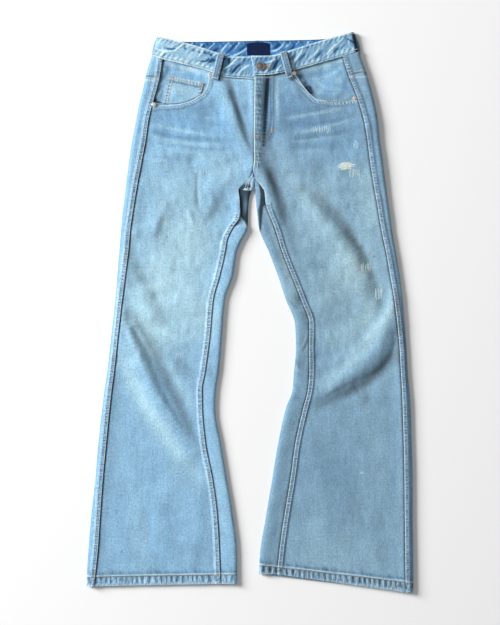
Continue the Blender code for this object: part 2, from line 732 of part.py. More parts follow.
def flat_sections(table, x_tops, x_seams, wall):
    """Sections of a flat stretch of the waistband; the wall is negative where its outer face looks up."""
    sections = []
    for x_top, x_seam in zip(x_tops, x_seams):
        top = (x_top, float(curve(table, "x", "top", x_top)))
        seam = (x_seam, float(curve(table, "x", "seam", x_seam)) + WAIST_GAP / 2)
        height = float(curve(table, "x", "height", (x_top + x_seam) / 2))
        sections.append(band_section(top, seam, height, height + wall))
    return sections


def side_sections(side, first, last):
    """Sections of the waistband round one side, from one angle to another: 90 is its upper face."""
    front = WAIST_LEFT if side == "left" else WAIST_RIGHT
    height = float(curve(front, "x", "height", BAND_SIDE[side].top_x))
    centre = BAND_BASE + ROLL_CENTRE * (height - BAND_BASE)
    sections = []
    for angle in np.linspace(np.radians(first), np.radians(last), 2 * ROLL_STEPS + 1)[1:-1]:
        reach = height - centre if angle > 0 else centre - BAND_BASE
        table = front if angle > 0 else WAIST_BACK
        faces = []
        for cut in (0, BAND_WALL):
            along = -outward(side) * (BAND_ROLL_WIDTH - (BAND_ROLL_WIDTH - cut) * np.cos(angle))
            z = centre + (reach - cut) * np.sin(angle)
            x_top, x_seam = BAND_SIDE[side].top_x + along, BAND_SIDE[side].seam_x + along
            top = (x_top, float(curve(table, "x", "top", x_top)))
            seam = (x_seam, float(curve(table, "x", "seam", x_seam)) + WAIST_GAP / 2)
            faces.append(band_section(top, seam, z, z)[0])
        sections.append(tuple(faces))
    return sections


def waistband():
    """One strip, from the overlap at the button round the right, the back and the left to the underlap."""
    left_in = BAND_SIDE["left"].top_x + BAND_ROLL_WIDTH, BAND_SIDE["left"].seam_x + BAND_ROLL_WIDTH
    right_in = BAND_SIDE["right"].top_x - BAND_ROLL_WIDTH, BAND_SIDE["right"].seam_x - BAND_ROLL_WIDTH
    along = np.linspace(0, 1, 14)
    starts = OVERLAP_END, OVERLAP_END + OVERLAP_SLANT
    overlap = [lerp(start, end, along) for start, end in zip(starts, right_in)]
    half = np.linspace(0, 1, FLOOR_COLUMNS + 2)
    back = []
    for right, left in zip(right_in, left_in):
        back.append([*lerp(right, BACK_RISE, half), *lerp(BACK_RISE, left, half[1:])])
    underlap = [[*lerp(start, UNDERLAP_FROM, along), *UNDERLAP_STEPS] for start in left_in]
    sections = flat_sections(WAIST_RIGHT, *overlap, -BAND_WALL)
    sections += side_sections("right", 90, -90)
    sections += flat_sections(WAIST_BACK, *back, BAND_WALL)
    sections += side_sections("left", -90, 90)
    sections += flat_sections(WAIST_LEFT, *underlap, -BAND_WALL)
    outer, inner = zip(*sections)
    cloth("waistband", outer, inner, DENIM_COLOUR)


def surface_height(side, x, y):
    """Height of whatever faces up at a place on the front: the waistband, a seam's band or a panel."""
    if y > front_seam(side, x):
        return float(curve(WAIST_LEFT if side == "left" else WAIST_RIGHT, "x", "height", x))
    beyond_outseam = outward(side) * (x - float(edge_x(side, "outseam", y))) > 0
    return front_height(side, x, y) + SEAM_RAISE * beyond_outseam


def strap(name, loop, bow, thickness, heights):
    """A belt loop: a strap from a to b, bowed sideways, its underside at each of the heights in turn."""
    start, end = np.array([loop.ax, loop.ay]), np.array([loop.bx, loop.by])
    along = unit(start, end)
    across = np.array([-along[1], along[0]])
    outer, inner = [], []
    for share, base in zip(np.linspace(0, 1, len(heights)), heights):
        middle = lerp(start, end, share) + np.array([bow * np.sin(np.pi * share), 0])
        row = [middle + across * offset for offset in (-LOOP_WIDTH / 2, 0, LOOP_WIDTH / 2)]
        outer.append([(x, y, base + thickness) for x, y in row])
        inner.append([(x, y, base) for x, y in row])
    cloth(name, outer, inner, DENIM_COLOUR)


def belt_loops():
    """Two loops stand over the front waistband, and three lie under it, between it and the surface."""
    shares = np.linspace(0, 1, 9)
    for side, loop in FRONT_LOOPS.items():
        start, end = np.array([loop.ax, loop.ay]), np.array([loop.bx, loop.by])
        heights = []
        for share in shares:
            places = [lerp(start, end, np.clip(share + near, 0, 1)) for near in (-LOOP_NEAR, 0, LOOP_NEAR)]
            spots = [(x + aside, y) for x, y in places for aside in (-LOOP_ASIDE, 0, LOOP_ASIDE)]
            under = max(surface_height(side, x, y) for x, y in spots)
            heights.append(under + LOOP_REST + LOOP_ARCH * float(np.sin(np.pi * share)))
        strap(f"belt_loop_front_{side}", loop, 0, LOOP_THICKNESS, heights)
    for name, (loop, bow) in LOW_LOOPS.items():
        strap(f"belt_loop_{name}", loop, bow, LOW_LOOP_THICKNESS, [0.0] * len(shares))


def rest_height(side, place, radius):
    """Where a round piece's flat underside lies just clear of what is under it."""
    turns = np.linspace(0, 2 * np.pi, 13)
    ring = [(place.x + radius * np.cos(t), place.y + radius * np.sin(t)) for t in turns]
    return max(surface_height(side, x, y) for x, y in ring) + LOOP_REST


def metal_pieces():
    for number, place in enumerate(RIVETS, 1):
        side = "left" if place.x < 0 else "right"
        base = rest_height(side, place, RIVET_RADIUS)
        turned(f"rivet_{number}", RIVET_PROFILE, place.x, place.y, base, RIVET_COLOUR, steps=12)
    base = float(curve(WAIST_RIGHT, "x", "height", BUTTON.x)) + SEAM_GAP
    turned("button", BUTTON_PROFILE, BUTTON.x, BUTTON.y, base, BUTTON_COLOUR)


def plate(name, corners, base, thickness, colour):
    """A flat piece with straight edges."""
    bm = bmesh.new()
    face = bm.faces.new([bm.verts.new((x * MM, y * MM, base * MM)) for x, y in corners])
    raised = bmesh.ops.extrude_face_region(bm, geom=[face])["geom"]
    moved = [part for part in raised if isinstance(part, bmesh.types.BMVert)]
    bmesh.ops.translate(bm, verts=moved, vec=(0, 0, thickness * MM))
    object_of(name, bm, colour)


def back_pockets():
    for side, pocket in BACK_POCKETS.items():
        corners = [
            (pocket.x - pocket.half_width, pocket.top),
            (pocket.x - pocket.half_base, pocket.bottom),
            (pocket.x, pocket.point),
            (pocket.x + pocket.half_base, pocket.bottom),
            (pocket.x + pocket.half_width, pocket.top),
        ]
        plate(f"back_pocket_{side}", corners, 0, DENIM, DENIM_COLOUR)


def label():
    width, depth = LABEL_SIZE
    left, near = LABEL.x - width / 2, LABEL.y - depth / 2
    corners = [(left, near), (left + width, near), (left + width, near + depth), (left, near + depth)]
    plate("label", corners, BAND_BASE + BAND_WALL + SEAM_GAP, LABEL_THICKNESS, LABEL_COLOUR)


def main():
    for old in list(bpy.data.objects):
        bpy.data.objects.remove(old)
    for side in ("left", "right"):
        back_panel(side)
        yoke_panel(side)
        front_panel(side)
        facing(side)
    coin_pocket()
    waistband()
    back_pockets()
    belt_loops()
    metal_pieces()
    label()


main()
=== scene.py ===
import json
import math
import bpy
import numpy as np
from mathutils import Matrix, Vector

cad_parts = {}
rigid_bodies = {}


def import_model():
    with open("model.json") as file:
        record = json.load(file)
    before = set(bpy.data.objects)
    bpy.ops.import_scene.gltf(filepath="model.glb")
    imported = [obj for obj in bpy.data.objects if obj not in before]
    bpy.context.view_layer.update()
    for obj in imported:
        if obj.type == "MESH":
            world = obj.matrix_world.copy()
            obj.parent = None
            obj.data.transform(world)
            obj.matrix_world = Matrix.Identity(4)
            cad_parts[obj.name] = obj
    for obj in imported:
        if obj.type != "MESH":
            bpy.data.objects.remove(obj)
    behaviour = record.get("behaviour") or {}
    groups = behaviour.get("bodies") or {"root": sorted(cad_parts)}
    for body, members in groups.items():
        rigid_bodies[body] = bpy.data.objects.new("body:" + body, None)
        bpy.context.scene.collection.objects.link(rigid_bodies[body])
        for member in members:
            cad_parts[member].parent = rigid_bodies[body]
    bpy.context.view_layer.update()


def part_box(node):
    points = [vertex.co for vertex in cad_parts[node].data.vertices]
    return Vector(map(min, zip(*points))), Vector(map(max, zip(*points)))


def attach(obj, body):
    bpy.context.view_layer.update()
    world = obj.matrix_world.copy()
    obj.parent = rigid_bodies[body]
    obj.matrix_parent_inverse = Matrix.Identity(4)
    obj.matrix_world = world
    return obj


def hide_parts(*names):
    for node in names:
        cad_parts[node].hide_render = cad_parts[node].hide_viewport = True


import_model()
bpy.ops.object.select_all(action="DESELECT")
print("frame loaded")

# Sizes are in millimetres here and become metres as each mesh is made.
# Left and right are the viewer's, with the waist away.
mm = 0.001
sides = ("left", "right")
outward = {"left": -1, "right": 1}

cut = {
    "denim": 1.2,
    "hemWall": 2.2,
    "hemHeight": 19.0,
    "bandWall": 2.6,
    "feltWidth": 11.0,  # the felled seams' raised band
    "feltRaise": 0.8,
    "seamGap": 0.3,
    "waistGap": 0.5,
    "crotch": 268.0,
    "knee": -300.0,
    "backRise": 7.2,
    "rowStep": 2.3,  # between a panel's rows of points
}

halfGap = {side: outward[side] * cut["seamGap"] / 2 for side in sides}  # half a seam's gap, outwards

# y, then x of the outer edge, the outseam, the inseam or fly, and the leg's inner edge
outline = {
    "left": [
        (-548, -328, -311, -58, -25.4), (-480, -324, -303.6, -60.4, -26), (-408, -318, -298.6, -64.5, -34),
        (-336, -310, -293.4, -73.8, -46), (-264, -304, -286.6, -88, -58),
        (-192, -296, -279.6, -94.6, -69.6), (-156, -291.6, -275.6, -95.2, -68),
        (-120, -286, -270.8, -89, -62), (-48, -278, -262.8, -79.4, -56), (24, -270, -254.6, -72.8, -50),
        (72, -266, -248.4, -60, -34), (120, -262, -242.4, -49, -26), (144, -260, -240.2, -45, -16),
        (168, -258, -238, -34, -4.4), (192, -256, -234.4, -19.6, -4), (224, -252, -229.4, -20.6, -2),
        (244, -249.6, -226, -23, 3.4), (256, -248, -224, -14, 6.2), (268, -247, -222, -2, 6.8),
        (284, -244.6, -218.6, 5, 7), (304, -242, -215, 7.4, 7.2), (344, -236, -207.4, 7, 7.2),
        (384, -228, -201.6, 7.6, 7.2), (416, -222, -194, 8, 7.2), (448, -214, -185, 8.4, 7.2),
        (476, -208, -178.6, 8.2, 7.2), (500, -200.6, -175, 6, 7.2), (514, -196.6, -173.4, 5, 7.2),
    ],
    "right": [
        (-562, 326.4, 311, 53.4, 17.2), (-528, 327.4, 310.4, 53.8, 17.6), (-480, 327, 309.8, 58, 20.4),
        (-408, 326, 309, 68, 32), (-336, 326, 308.4, 80, 44), (-264, 324, 307, 90, 56),
        (-192, 322, 304.8, 106, 72), (-156, 319.4, 303.4, 115, 85), (-120, 316, 301.2, 118, 88),
        (-72, 313.6, 298.6, 117.4, 92), (-24, 310, 294, 118, 90), (24, 306, 288, 102, 72),
        (72, 300, 280, 83, 56), (120, 292, 271.6, 64, 38), (168, 284, 261.6, 49, 18),
        (192, 281, 257.4, 39, 15), (216, 277.4, 253.6, 31, 12.4), (240, 274, 249.4, 29, 10),
        (256, 272, 246.6, 19, 8), (268, 270.4, 244.6, 9, 7.6), (284, 268.4, 242, 5.6, 7.4),
        (304, 266, 239, 8, 7.2), (344, 260, 234, 7.4, 7.2), (384, 256, 227, 7.8, 7.2),
        (416, 250, 218, 8.2, 7.2), (448, 242, 206.6, 8.6, 7.2), (476, 234, 195.2, 8.6, 7.2),
        (500, 225, 187.4, 7, 7.2), (514, 220, 183.4, 5, 7.2),
    ],
}
hemEnds = {"left": (-549.0, -544.0), "right": (-561.2, -525.0)}  # y at the outer and the inner edge
scoop = {  # the pocket openings, from the outseam up to the waistband
    "left": [
        (-192.6, 411), (-180, 413.6), (-160, 414.2), (-140, 416), (-115, 424), (-93.6, 438.2),
        (-85.6, 452.6), (-82.8, 468), (-82.2, 481.8),
    ],
    "right": [
        (217.6, 424), (204, 425), (190, 422.6), (162, 420.8), (133.2, 425.6), (117.8, 438.2),
        (104.4, 455.4), (94, 471), (87.4, 483),
    ],
}


def smoothCurve(rows, column=1):  # a curve through one column of a table, whose first column is where
    rows = sorted(rows)
    at = np.array([row[0] for row in rows], float)
    value = np.array([row[column] for row in rows], float)
    step = np.diff(value) / np.diff(at)
    slope = np.concatenate([step[:1], np.zeros(len(step) - 1), step[-1:]])
    sameWay = step[:-1] * step[1:] > 0
    slope[1:-1][sameWay] = 2 * (step[:-1] * step[1:])[sameWay] / (step[:-1] + step[1:])[sameWay]

    def curve(x):
        x = np.clip(np.asarray(x, float), at[0], at[-1])
        i = np.clip(np.searchsorted(at, x, side="right") - 1, 0, len(step) - 1)
        span = at[i + 1] - at[i]
        t = (x - at[i]) / span
        level = (2 * t**3 - 3 * t**2 + 1) * value[i] + (3 * t**2 - 2 * t**3) * value[i + 1]
        return level + span * ((t**3 - 2 * t**2 + t) * slope[i] + (t**3 - t**2) * slope[i + 1])

    return curve


def ease(value, start, end):  # 0 at the start, 1 at the end and smooth between
    t = np.clip((np.asarray(value, float) - start) / (end - start), 0, 1)
    return t * t * (3 - 2 * t)


def bell(away, width):  # 1 at no distance, falling to 0 on both sides
    return np.exp(-((away / width) ** 2))


def lerp(start, end, share):
    return start + (end - start) * share


edge = {side: {} for side in sides}
for side in sides:
    for column, name in enumerate(("outer", "outseam", "seam", "inner"), 1):
        edge[side][name] = smoothCurve(outline[side], column)


def beyond(side, name, x, y):  # how far outwards of one of a leg's four edges
    return outward[side] * (x - edge[side][name](y))


# x, then y of the waistband's top edge, y of its seam, and its height
waist = {
    "left": [
        (-200, 554, 513.6, 8.6), (-174, 549, 505.2, 8.6), (-140, 541, 497, 8.2), (-98, 529.4, 486.4, 8.0),
        (-65, 518.6, 476, 8.0), (-46, 511.8, 469.6, 7.9), (-20, 511, 467.6, 7.6), (8.5, 511.4, 466, 7.3),
        (14, 511.4, 475, 7.3), (42, 511.6, 476, 7.3),
    ],
    "right": [
        (1, 511.8, 472.4, 11.0), (36, 512, 473.6, 11.0), (60, 516.6, 477.4, 10.0), (84, 524.4, 482.4, 8.6),
        (148, 544.4, 500.4, 8.2), (185, 554.8, 511, 8.4), (208, 560.2, 519, 8.6), (222, 562, 523.4, 8.6),
    ],
    "back": [
        (-200, 554, 513.6, 1.8), (-160, 543.6, 505, 1.8), (-120, 541.4, 503, 1.8), (24, 543.6, 505, 1.8),
        (120, 545.4, 507, 1.8), (150, 547, 508.4, 1.8), (208, 560.2, 519, 1.8), (222, 562, 523.4, 1.8),
    ],
}
waistTop = {name: smoothCurve(rows, 1) for name, rows in waist.items()}
waistSeam = {name: smoothCurve(rows, 2) for name, rows in waist.items()}
waistHeight = {name: smoothCurve(rows, 3) for name, rows in waist.items()}
# The y at which each outseam meets the waistband
outseamTop = {side: waistSeam[side](edge[side]["outseam"](507)) for side in sides}
bandSide = {"left": (-186.0, -196.6), "right": (208.4, 216.6)}  # outermost x at the top edge and at the seam
yoke = {"left": (472.6, 477.0, 430.0), "right": (479.0, 486.0, 430.0)}  # y at the outseam, side and middle
backPocket = {
    "top": 408, "bottom": 276, "point": 254, "halfWidth": 72, "halfBase": 62,
    "x": {"left": -104, "right": 122}, "reach": 68, "long": 150,
}

lift = smoothCurve([
    (-562, 5.4), (-500, 4.6), (-300, 4.2), (0, 4.4), (180, 5.0), (270, 5.8), (380, 6.6), (520, 6.6),
])
hollow = {  # how far the back panel's strip lies below the front panel at the crotch
    "left": smoothCurve([
        (120, 0), (146, 0), (168, 0.2), (176, 2.4), (230, 3), (243, 2.6), (250, 0), (268, 0),
    ]),
    "right": smoothCurve([
        (120, 0), (146, 1), (168, 2.4), (176, 2.8), (230, 3), (243, 2.4), (250, 1.6), (268, 0.4),
    ]),
}

# Ridges, or creases where the height is below 0, along bent lines from a through b to c
folds = [  # ax, ay, bx, by, cx, cy, height, half width
    (-66, 462, -44, 410, -8, 322, 3.0, 15), (-254, -6, -196, -150, -118, -278, 6.0, 24),
    (-160, 214, -186, 176, -196, 134, 1.6, 16), (-246, 110, -216, 30, -160, -30, 1.6, 18),
    (8, 300, 38, 246, 56, 170, 3.6, 12), (88, 232, 172, 152, 240, 20, 4.2, 20),
    (288, 20, 246, -84, 136, -158, 5.8, 22), (12, 470, 14, 420, 16, 352, 1.4, 9),
]
creases = [
    (-40, 466, -24, 410, 2, 330, -1.4, 6), (-236, -20, -178, -118, -112, -240, -1.6, 12),
    (-52, 238, -62, 212, -78, 186, -1.2, 9), (-106, 276, -107, 244, -104, 206, -0.8, 4),
    (-126, 200, -120, 190, -116, 174, 0.6, 5), (-200, -28, -168, -44, -130, -56, 1.0, 10),
    (-150, -86, -128, -116, -100, -146, -1.1, 10), (30, 312, 58, 250, 80, 178, -1.6, 8),
    (110, 244, 200, 168, 264, 20, -1.4, 11), (204, -12, 160, -14, 112, -10, -0.8, 12),
    (292, -36, 262, -122, 150, -186, -2.2, 12), (206, -140, 218, -156, 228, -174, -1.0, 6),
    (286, 44, 262, -26, 178, -94, 1.6, 10),
]

wrinkles = [  # small ones
    (-48, 464, -28, 414, -8, 370, -0.9, 4), (-28, 414, -10, 358, 4, 326, -1.5, 5),
    (-162, 212, -176, 176, -184, 138, -1.0, 7), (-236, 106, -206, 60, -178, -2, -1.0, 9),
    (-252, 6, -230, -66, -190, -160, 1.5, 8), (-190, -160, -150, -212, -112, -262, 1.2, 9),
    (-246, -14, -214, -66, -190, -120, -1.9, 6), (-190, -120, -166, -172, -126, -244, -1.5, 6),
    (-90, -92, -72, -120, -66, -154, -0.9, 8), (24, 308, 46, 262, 62, 212, -1.2, 5),
    (60, 212, 68, 196, 74, 178, -0.8, 5), (108, 240, 152, 204, 194, 158, -1.1, 6),
    (194, 158, 236, 108, 262, 12, -1.0, 7), (292, -44, 272, -104, 214, -138, -1.6, 6),
    (214, -138, 176, -158, 148, -176, -1.5, 5), (102, -46, 108, -62, 112, -78, -0.8, 6),
    (92, -82, 98, -96, 104, -112, -0.7, 6), (84, -156, 92, -164, 100, -176, -0.7, 6),
    (0, 470, 4, 420, 6, 345, 0.5, 4), (32, 472, 32, 420, 25, 346, -2.2, 5),
    (-188, 396, -130, 390, -60, 400, 0.5, 7), (90, 402, 150, 410, 220, 400, 0.5, 7),
    (-152, 120, -120, 60, -60, 20, 0.6, 14), (150, 120, 200, 60, 240, 40, 0.6, 14),
    (-140, -300, -170, -380, -190, -500, 0.9, 16), (-70, -280, -100, -380, -110, -520, 0.9, 18),
    (120, -260, 150, -380, 150, -500, 0.9, 18), (230, -260, 240, -380, 260, -520, 0.9, 16),
]


def nearLine(line, x, y, reach):
    # Distance to a bent line and how far down it, for the places within reach of it
    t = np.linspace(0, 1, 33)
    ax, ay, bx, by, cx, cy = line
    lineX = (1 - t) ** 2 * ax + 2 * t * (1 - t) * (2 * bx - (ax + cx) / 2) + t**2 * cx
    lineY = (1 - t) ** 2 * ay + 2 * t * (1 - t) * (2 * by - (ay + cy) / 2) + t**2 * cy
    close = (x > lineX.min() - reach) & (x < lineX.max() + reach)
    close = close & (y > lineY.min() - reach) & (y < lineY.max() + reach)
    far = np.full(np.shape(x), 1e6)
    down = np.zeros(np.shape(x))
    if close.any():
        away = np.hypot(x[close][:, None] - lineX, y[close][:, None] - lineY)
        nearest = away.argmin(1)
        far[close] = away.min(1)
        down[close] = t[nearest]
    return far, down


def foldHeight(x, y, rows):
    total = np.zeros(np.shape(x))
    for *line, height, width in rows:
        far, down = nearLine(line, x, y, 3 * width)
        fade = np.sin(np.pi * np.clip(0.12 + 0.76 * down, 0, 1)) ** 1.2
        total = total + height * fade * bell(far, width)
    return total


waves = np.random.default_rng(11)
ripple = [  # a loose, uneven surface, as a sum of waves: across, down, phase and share
    (math.cos(turn) * 2 * math.pi / span, math.sin(turn) * 2 * math.pi / span, phase, span)
    for turn, span, phase in zip(*(waves.uniform(*ends, 40) for ends in ((0, math.pi), (16, 90), (0, 6.3))))
]


def rippleHeight(x, y):
    total = np.zeros(np.shape(x))
    for across, down, phase, span in ripple:
        total = total + span / 60 * np.sin(across * x + down * y + phase)
    return 0.13 * total


def pucker(along, across, period=7.0, reach=7.0, seed=0):  # a sewn seam's uneven gathers
    phase = along * 2 * math.pi / period + 1.9 * np.sin(along / 23.0 + seed)
    phase = phase + 1.1 * np.sin(along / 9.1 + 2 * seed)
    size = 0.6 + 0.4 * np.sin(along / 31.0 + 3 * seed)
    return size * np.sin(phase + 0.12 * across) * bell(across, reach)


def topHeight(side, x, y):  # the garment's upper face
    x, y = np.asarray(x, float), np.asarray(y, float)
    inside = -beyond(side, "outer", x, y)
    fromInner = beyond(side, "inner", x, y)
    near = np.minimum(inside, np.where(y < cut["crotch"] - 20, fromInner, 99))
    bulge = 2.2 * bell(np.maximum(near, 9) - 9, 17)
    loose = sum(foldHeight(x, y, rows) for rows in (folds, creases, wrinkles))
    loose = loose + rippleHeight(x, y) * (0.4 + 0.6 * ease(y, -230, -60))
    fade = ease(near, 0, 22)
    fromOutseam = beyond(side, "outseam", x, y)
    fromSeam = beyond(side, "seam", x, y)
    sewn = pucker(y, fromOutseam, seed=1 + outward[side]) + pucker(y, fromSeam, seed=3 + outward[side])
    ditch = bell(fromOutseam, 1.6) + 0.7 * bell(fromSeam, 1.6)
    rope = 0.6 * bars(x, y - hemLine(side, x))
    return lift(y) + bulge + fade * loose + 0.3 * ease(near, 0, 8) * (sewn + rope) - 0.6 * ditch


def floorHeight(x, y):  # the underside: 0 but over the back pockets and the waistband's belt loops
    x, y = np.asarray(x, float), np.asarray(y, float)
    raised = 1.8 * ease(y, 462, 492)
    for middle in backPocket["x"].values():
        over = 1 - ease(np.abs(x - middle), backPocket["halfWidth"] + 2, backPocket["halfWidth"] + 40)
        over = over * ease(y, backPocket["point"] - 40, backPocket["point"] - 2)
        over = over * (1 - ease(y, backPocket["top"] + 2, backPocket["top"] + 40))
        raised = np.maximum(raised, 1.5 * over)
    return raised


def frontHeight(side, x, y):  # the front panels, where the right one laps over the left one at the fly
    z = topHeight(side, x, y)
    if side == "left":
        return z
    fromEdge = x - edge[side]["seam"](y)
    return z + 2.2 * ease(y, 304, 345) * (1 - ease(fromEdge, 14, 44))


def hemMiddle(side):
    return sum(hemEnds[side]) / 2


def slanted(side, y):  # a row's y at the outer and inner edges, which slant with the hem
    hemOuter, hemInner = hemEnds[side]
    share = 1 - ease(y, hemMiddle(side), cut["knee"])
    return y + (hemOuter - hemMiddle(side)) * share, y + (hemInner - hemMiddle(side)) * share


def gridNormals(points):
    # Unit normals of a grid of points, towards the side from which rows go up and columns go right
    down = np.gradient(points, axis=0)
    along = np.gradient(points, axis=1)
    normal = np.cross(along, down)
    return normal / np.maximum(np.linalg.norm(normal, axis=-1, keepdims=True), 1e-9)


def placed(name, mesh):  # puts a new mesh in the scene, selected and active
    piece = bpy.data.objects.new(name, mesh)
    bpy.context.scene.collection.objects.link(piece)
    bpy.ops.object.select_all(action="DESELECT")
    piece.select_set(True)
    bpy.context.view_layer.objects.active = piece
    return piece


def sheetOf(name, points, flat, wall, dye, sewn, insideDye=None, insideRelief=0.0, turn=1, keep=None):
    # A closed piece of cloth from a grid of points on its outer face, with its cloth coordinates and colours
    rows, columns = points.shape[:2]
    wall = np.broadcast_to(np.asarray(wall, float), (rows, columns))
    under = points - turn * gridNormals(points) * (wall - insideRelief)[..., None]
    verts = np.concatenate([points.reshape(-1, 3), under.reshape(-1, 3)]) * mm
    index = np.arange(rows * columns).reshape(rows, columns)
    quads = np.stack([index[:-1, :-1], index[:-1, 1:], index[1:, 1:], index[1:, :-1]], -1)
    kept = np.ones(quads.shape[:2], bool) if keep is None else keep
    faces = quads[kept]
    if turn < 0:
        faces = faces[:, ::-1]
    lower = faces[:, ::-1] + rows * columns
    ways = np.concatenate([faces[:, [i, (i + 1) % 4]] for i in range(4)])
    known = set(map(tuple, ways.tolist()))
    rim = np.array([(b, a) for a, b in known if (b, a) not in known])
    rimFaces = np.column_stack([rim, rim[:, ::-1] + rows * columns])
    every = np.concatenate([faces, lower, rimFaces])
    used = np.unique(every)
    place = np.full(len(verts), -1)
    place[used] = np.arange(len(used))
    mesh = bpy.data.meshes.new(name)
    mesh.from_pydata(verts[used].tolist(), [], place[every].tolist())
    mesh.polygons.foreach_set("use_smooth", np.ones(len(every), bool))
    layer = mesh.uv_layers.new(name="cloth")
    both = np.concatenate([flat.reshape(-1, 2)] * 2) * mm
    layer.data.foreach_set("uv", both[every].reshape(-1))
    inside = dye * 0.62 if insideDye is None else np.broadcast_to(np.asarray(insideDye, float), dye.shape)
    for label, values in (("dye", (dye, inside)), ("sewn", (sewn, sewn))):
        colour = np.ones((len(used), 4))
        colour[:, :3] = np.concatenate([value.reshape(-1, 3) for value in values])[used]
        mesh.attributes.new(label, "FLOAT_COLOR", "POINT").data.foreach_set("color", colour.reshape(-1))
    piece = placed(name, mesh)
    bpy.ops.object.shade_smooth_by_angle(angle=math.radians(48))
    return piece


def awayFrom(line, x, y):  # the distance to the nearest of a line's points
    return np.min(np.hypot(x[..., None] - line[:, 0], y[..., None] - line[:, 1]), axis=-1)


def unit(start, end):
    way = end - start
    return way / np.linalg.norm(way, axis=-1, keepdims=True)


def pair(x, y):
    return np.stack(np.broadcast_arrays(x, y), -1).astype(float)


def bentRows(across, y, seam, weight):
    # Moves rows as a seam departs from the straight line between their ends
    share = (across - across[:, :1]) / (across[:, -1:] - across[:, :1])
    return y + weight[:, None] * (seam(across) - lerp(seam(across[:, :1]), seam(across[:, -1:]), share))


def placesAlong(line, far, at):  # places on a line whose points lie this far down it
    return np.column_stack([np.interp(at, far, column) for column in line.T])


def rounded(line, times):  # a line with its bends softened
    for _ in range(times):
        line[1:-1] = (line[:-2] + 2 * line[1:-1] + line[2:]) / 4
    return line


scoopRun = {}
for side in sides:
    line = np.array(scoop[side], float)
    line[0, 0] = edge[side]["outseam"](line[0, 1]) - halfGap[side]
    run = np.concatenate([[0], np.cumsum(np.hypot(*np.diff(line, axis=0).T))])
    scoopRun[side] = (run / run[-1], line)


def scoopAt(side, share, tuck=0.0):  # places along a pocket opening, moved into the panel by tuck
    run, line = scoopRun[side]
    fine = np.linspace(0, 1, 201)
    smooth = rounded(placesAlong(line, run, fine), 14)
    way = np.gradient(smooth, axis=0)
    way /= np.hypot(*way.T)[:, None]
    moved = smooth + tuck * outward[side] * np.column_stack([-way[:, 1], way[:, 0]])
    return placesAlong(moved, fine, share)


def frontPanelGrid(side):
    levels = np.arange(hemMiddle(side), 392, cut["rowStep"])
    yOut, yIn = slanted(side, levels)
    outEnds = [pair(edge[side]["outseam"](yOut) - halfGap[side], yOut)]
    inEnds, bends = [yIn], [np.zeros(len(levels))]
    first = scoopAt(side, np.array([0.0]))[0, 1]
    between = np.linspace(0, 1, 10)[:-1]
    yOut = lerp(392, first, between)
    outEnds.append(pair(edge[side]["outseam"](yOut) - halfGap[side], yOut))
    inEnds.append(lerp(392, 400, between))
    bends.append(np.zeros(9))
    share = np.linspace(0, 1, 64)
    top = waistSeam[side](edge[side]["seam"](476)) - cut["waistGap"] / 2
    ends = scoopAt(side, share)
    ends[-1, 1] = waistSeam[side](ends[-1, 0]) - cut["waistGap"] / 2
    outEnds.append(ends)
    inEnds.append(lerp(400, top, share))
    bends.append(ease(share, 0.4, 1))
    outEnds, inEnds, bends = np.concatenate(outEnds), np.concatenate(inEnds), np.concatenate(bends)
    x = edge[side]["seam"](inEnds) + halfGap[side]
    if side == "left":  # the lap under the right front
        x = x + 8.0 * ease(inEnds, 345, 365) * (1 - ease(inEnds, 440, 458))
    seamEnds = pair(x, inEnds)
    width = np.linalg.norm(seamEnds - outEnds, axis=1)
    band = 1 - cut["feltWidth"] / width
    near = 1.2 / width
    columns = [np.zeros(len(width)), near] + [lerp(near, band - near, s) for s in np.linspace(0, 1, 82)[1:]]
    columns += [lerp(band, 1.0, s) for s in (0, 0.16, 0.34, 0.52, 0.7, 0.88, 1)]
    share = np.stack(columns, 1)
    points = outEnds[:, None] + (seamEnds - outEnds)[:, None] * share[..., None]
    x = points[..., 0]
    y = bentRows(x, points[..., 1], waistSeam[side], bends)
    z = frontHeight(side, x, y)
    fromSeam = (1 - share) * width[:, None]
    raised = cut["feltRaise"] * (1 - ease(inEnds, *seamShows[side]))[:, None]
    z = z + raised * (1 - ease(fromSeam, cut["feltWidth"] - 0.6, cut["feltWidth"] + 0.9))
    return np.stack([x, y, z], -1)


def rollColumns(edgePoint, direction, width, top, base, angles):
    # A rolled edge's columns: 90 is its upper face
    centre = base + 0.45 * (top - base)
    found = []
    for angle in np.radians(angles):
        reach = top - centre if angle > 0 else centre - base
        place = edgePoint + direction * (width * (1 - math.cos(angle)))[:, None]
        found.append(np.column_stack([place, centre + reach * math.sin(angle)]))
    return found


def outerColumns(side, yOutseam, yOuter, start, under):
    edgePoint = pair(edge[side]["outer"](yOuter), yOuter)
    seam = pair(edge[side]["outseam"](yOutseam) + halfGap[side], yOutseam)
    width = np.minimum(7, 0.55 * np.linalg.norm(seam - edgePoint, axis=1))
    underEnd = edgePoint + unit(edgePoint, start) * width[:, None]
    found = []
    for share in np.linspace(0, 1, under + 2)[1:-1]:
        place = lerp(start, underEnd, share)
        found.append(np.column_stack([place, floorHeight(place[:, 0], place[:, 1])]))
    rollEnd = edgePoint + unit(edgePoint, seam) * width[:, None]
    top = topHeight(side, rollEnd[:, 0], rollEnd[:, 1])
    base = floorHeight(underEnd[:, 0], underEnd[:, 1])
    found += rollColumns(edgePoint, unit(edgePoint, start), width, top, base, (-90, -62, -34, -12))
    found += rollColumns(edgePoint, unit(edgePoint, seam), width, top, base, (6, 24, 46, 68))
    length = np.linalg.norm(seam - rollEnd, axis=1)
    for share in np.linspace(1, 0, 11):
        place = lerp(seam, rollEnd, share)
        z = topHeight(side, place[:, 0], place[:, 1])
        felt = 1 - ease(share * length, cut["feltWidth"] - 1.2, cut["feltWidth"] + 1.2)
        found.append(np.column_stack([place, z + cut["feltRaise"] * felt]))
    return found


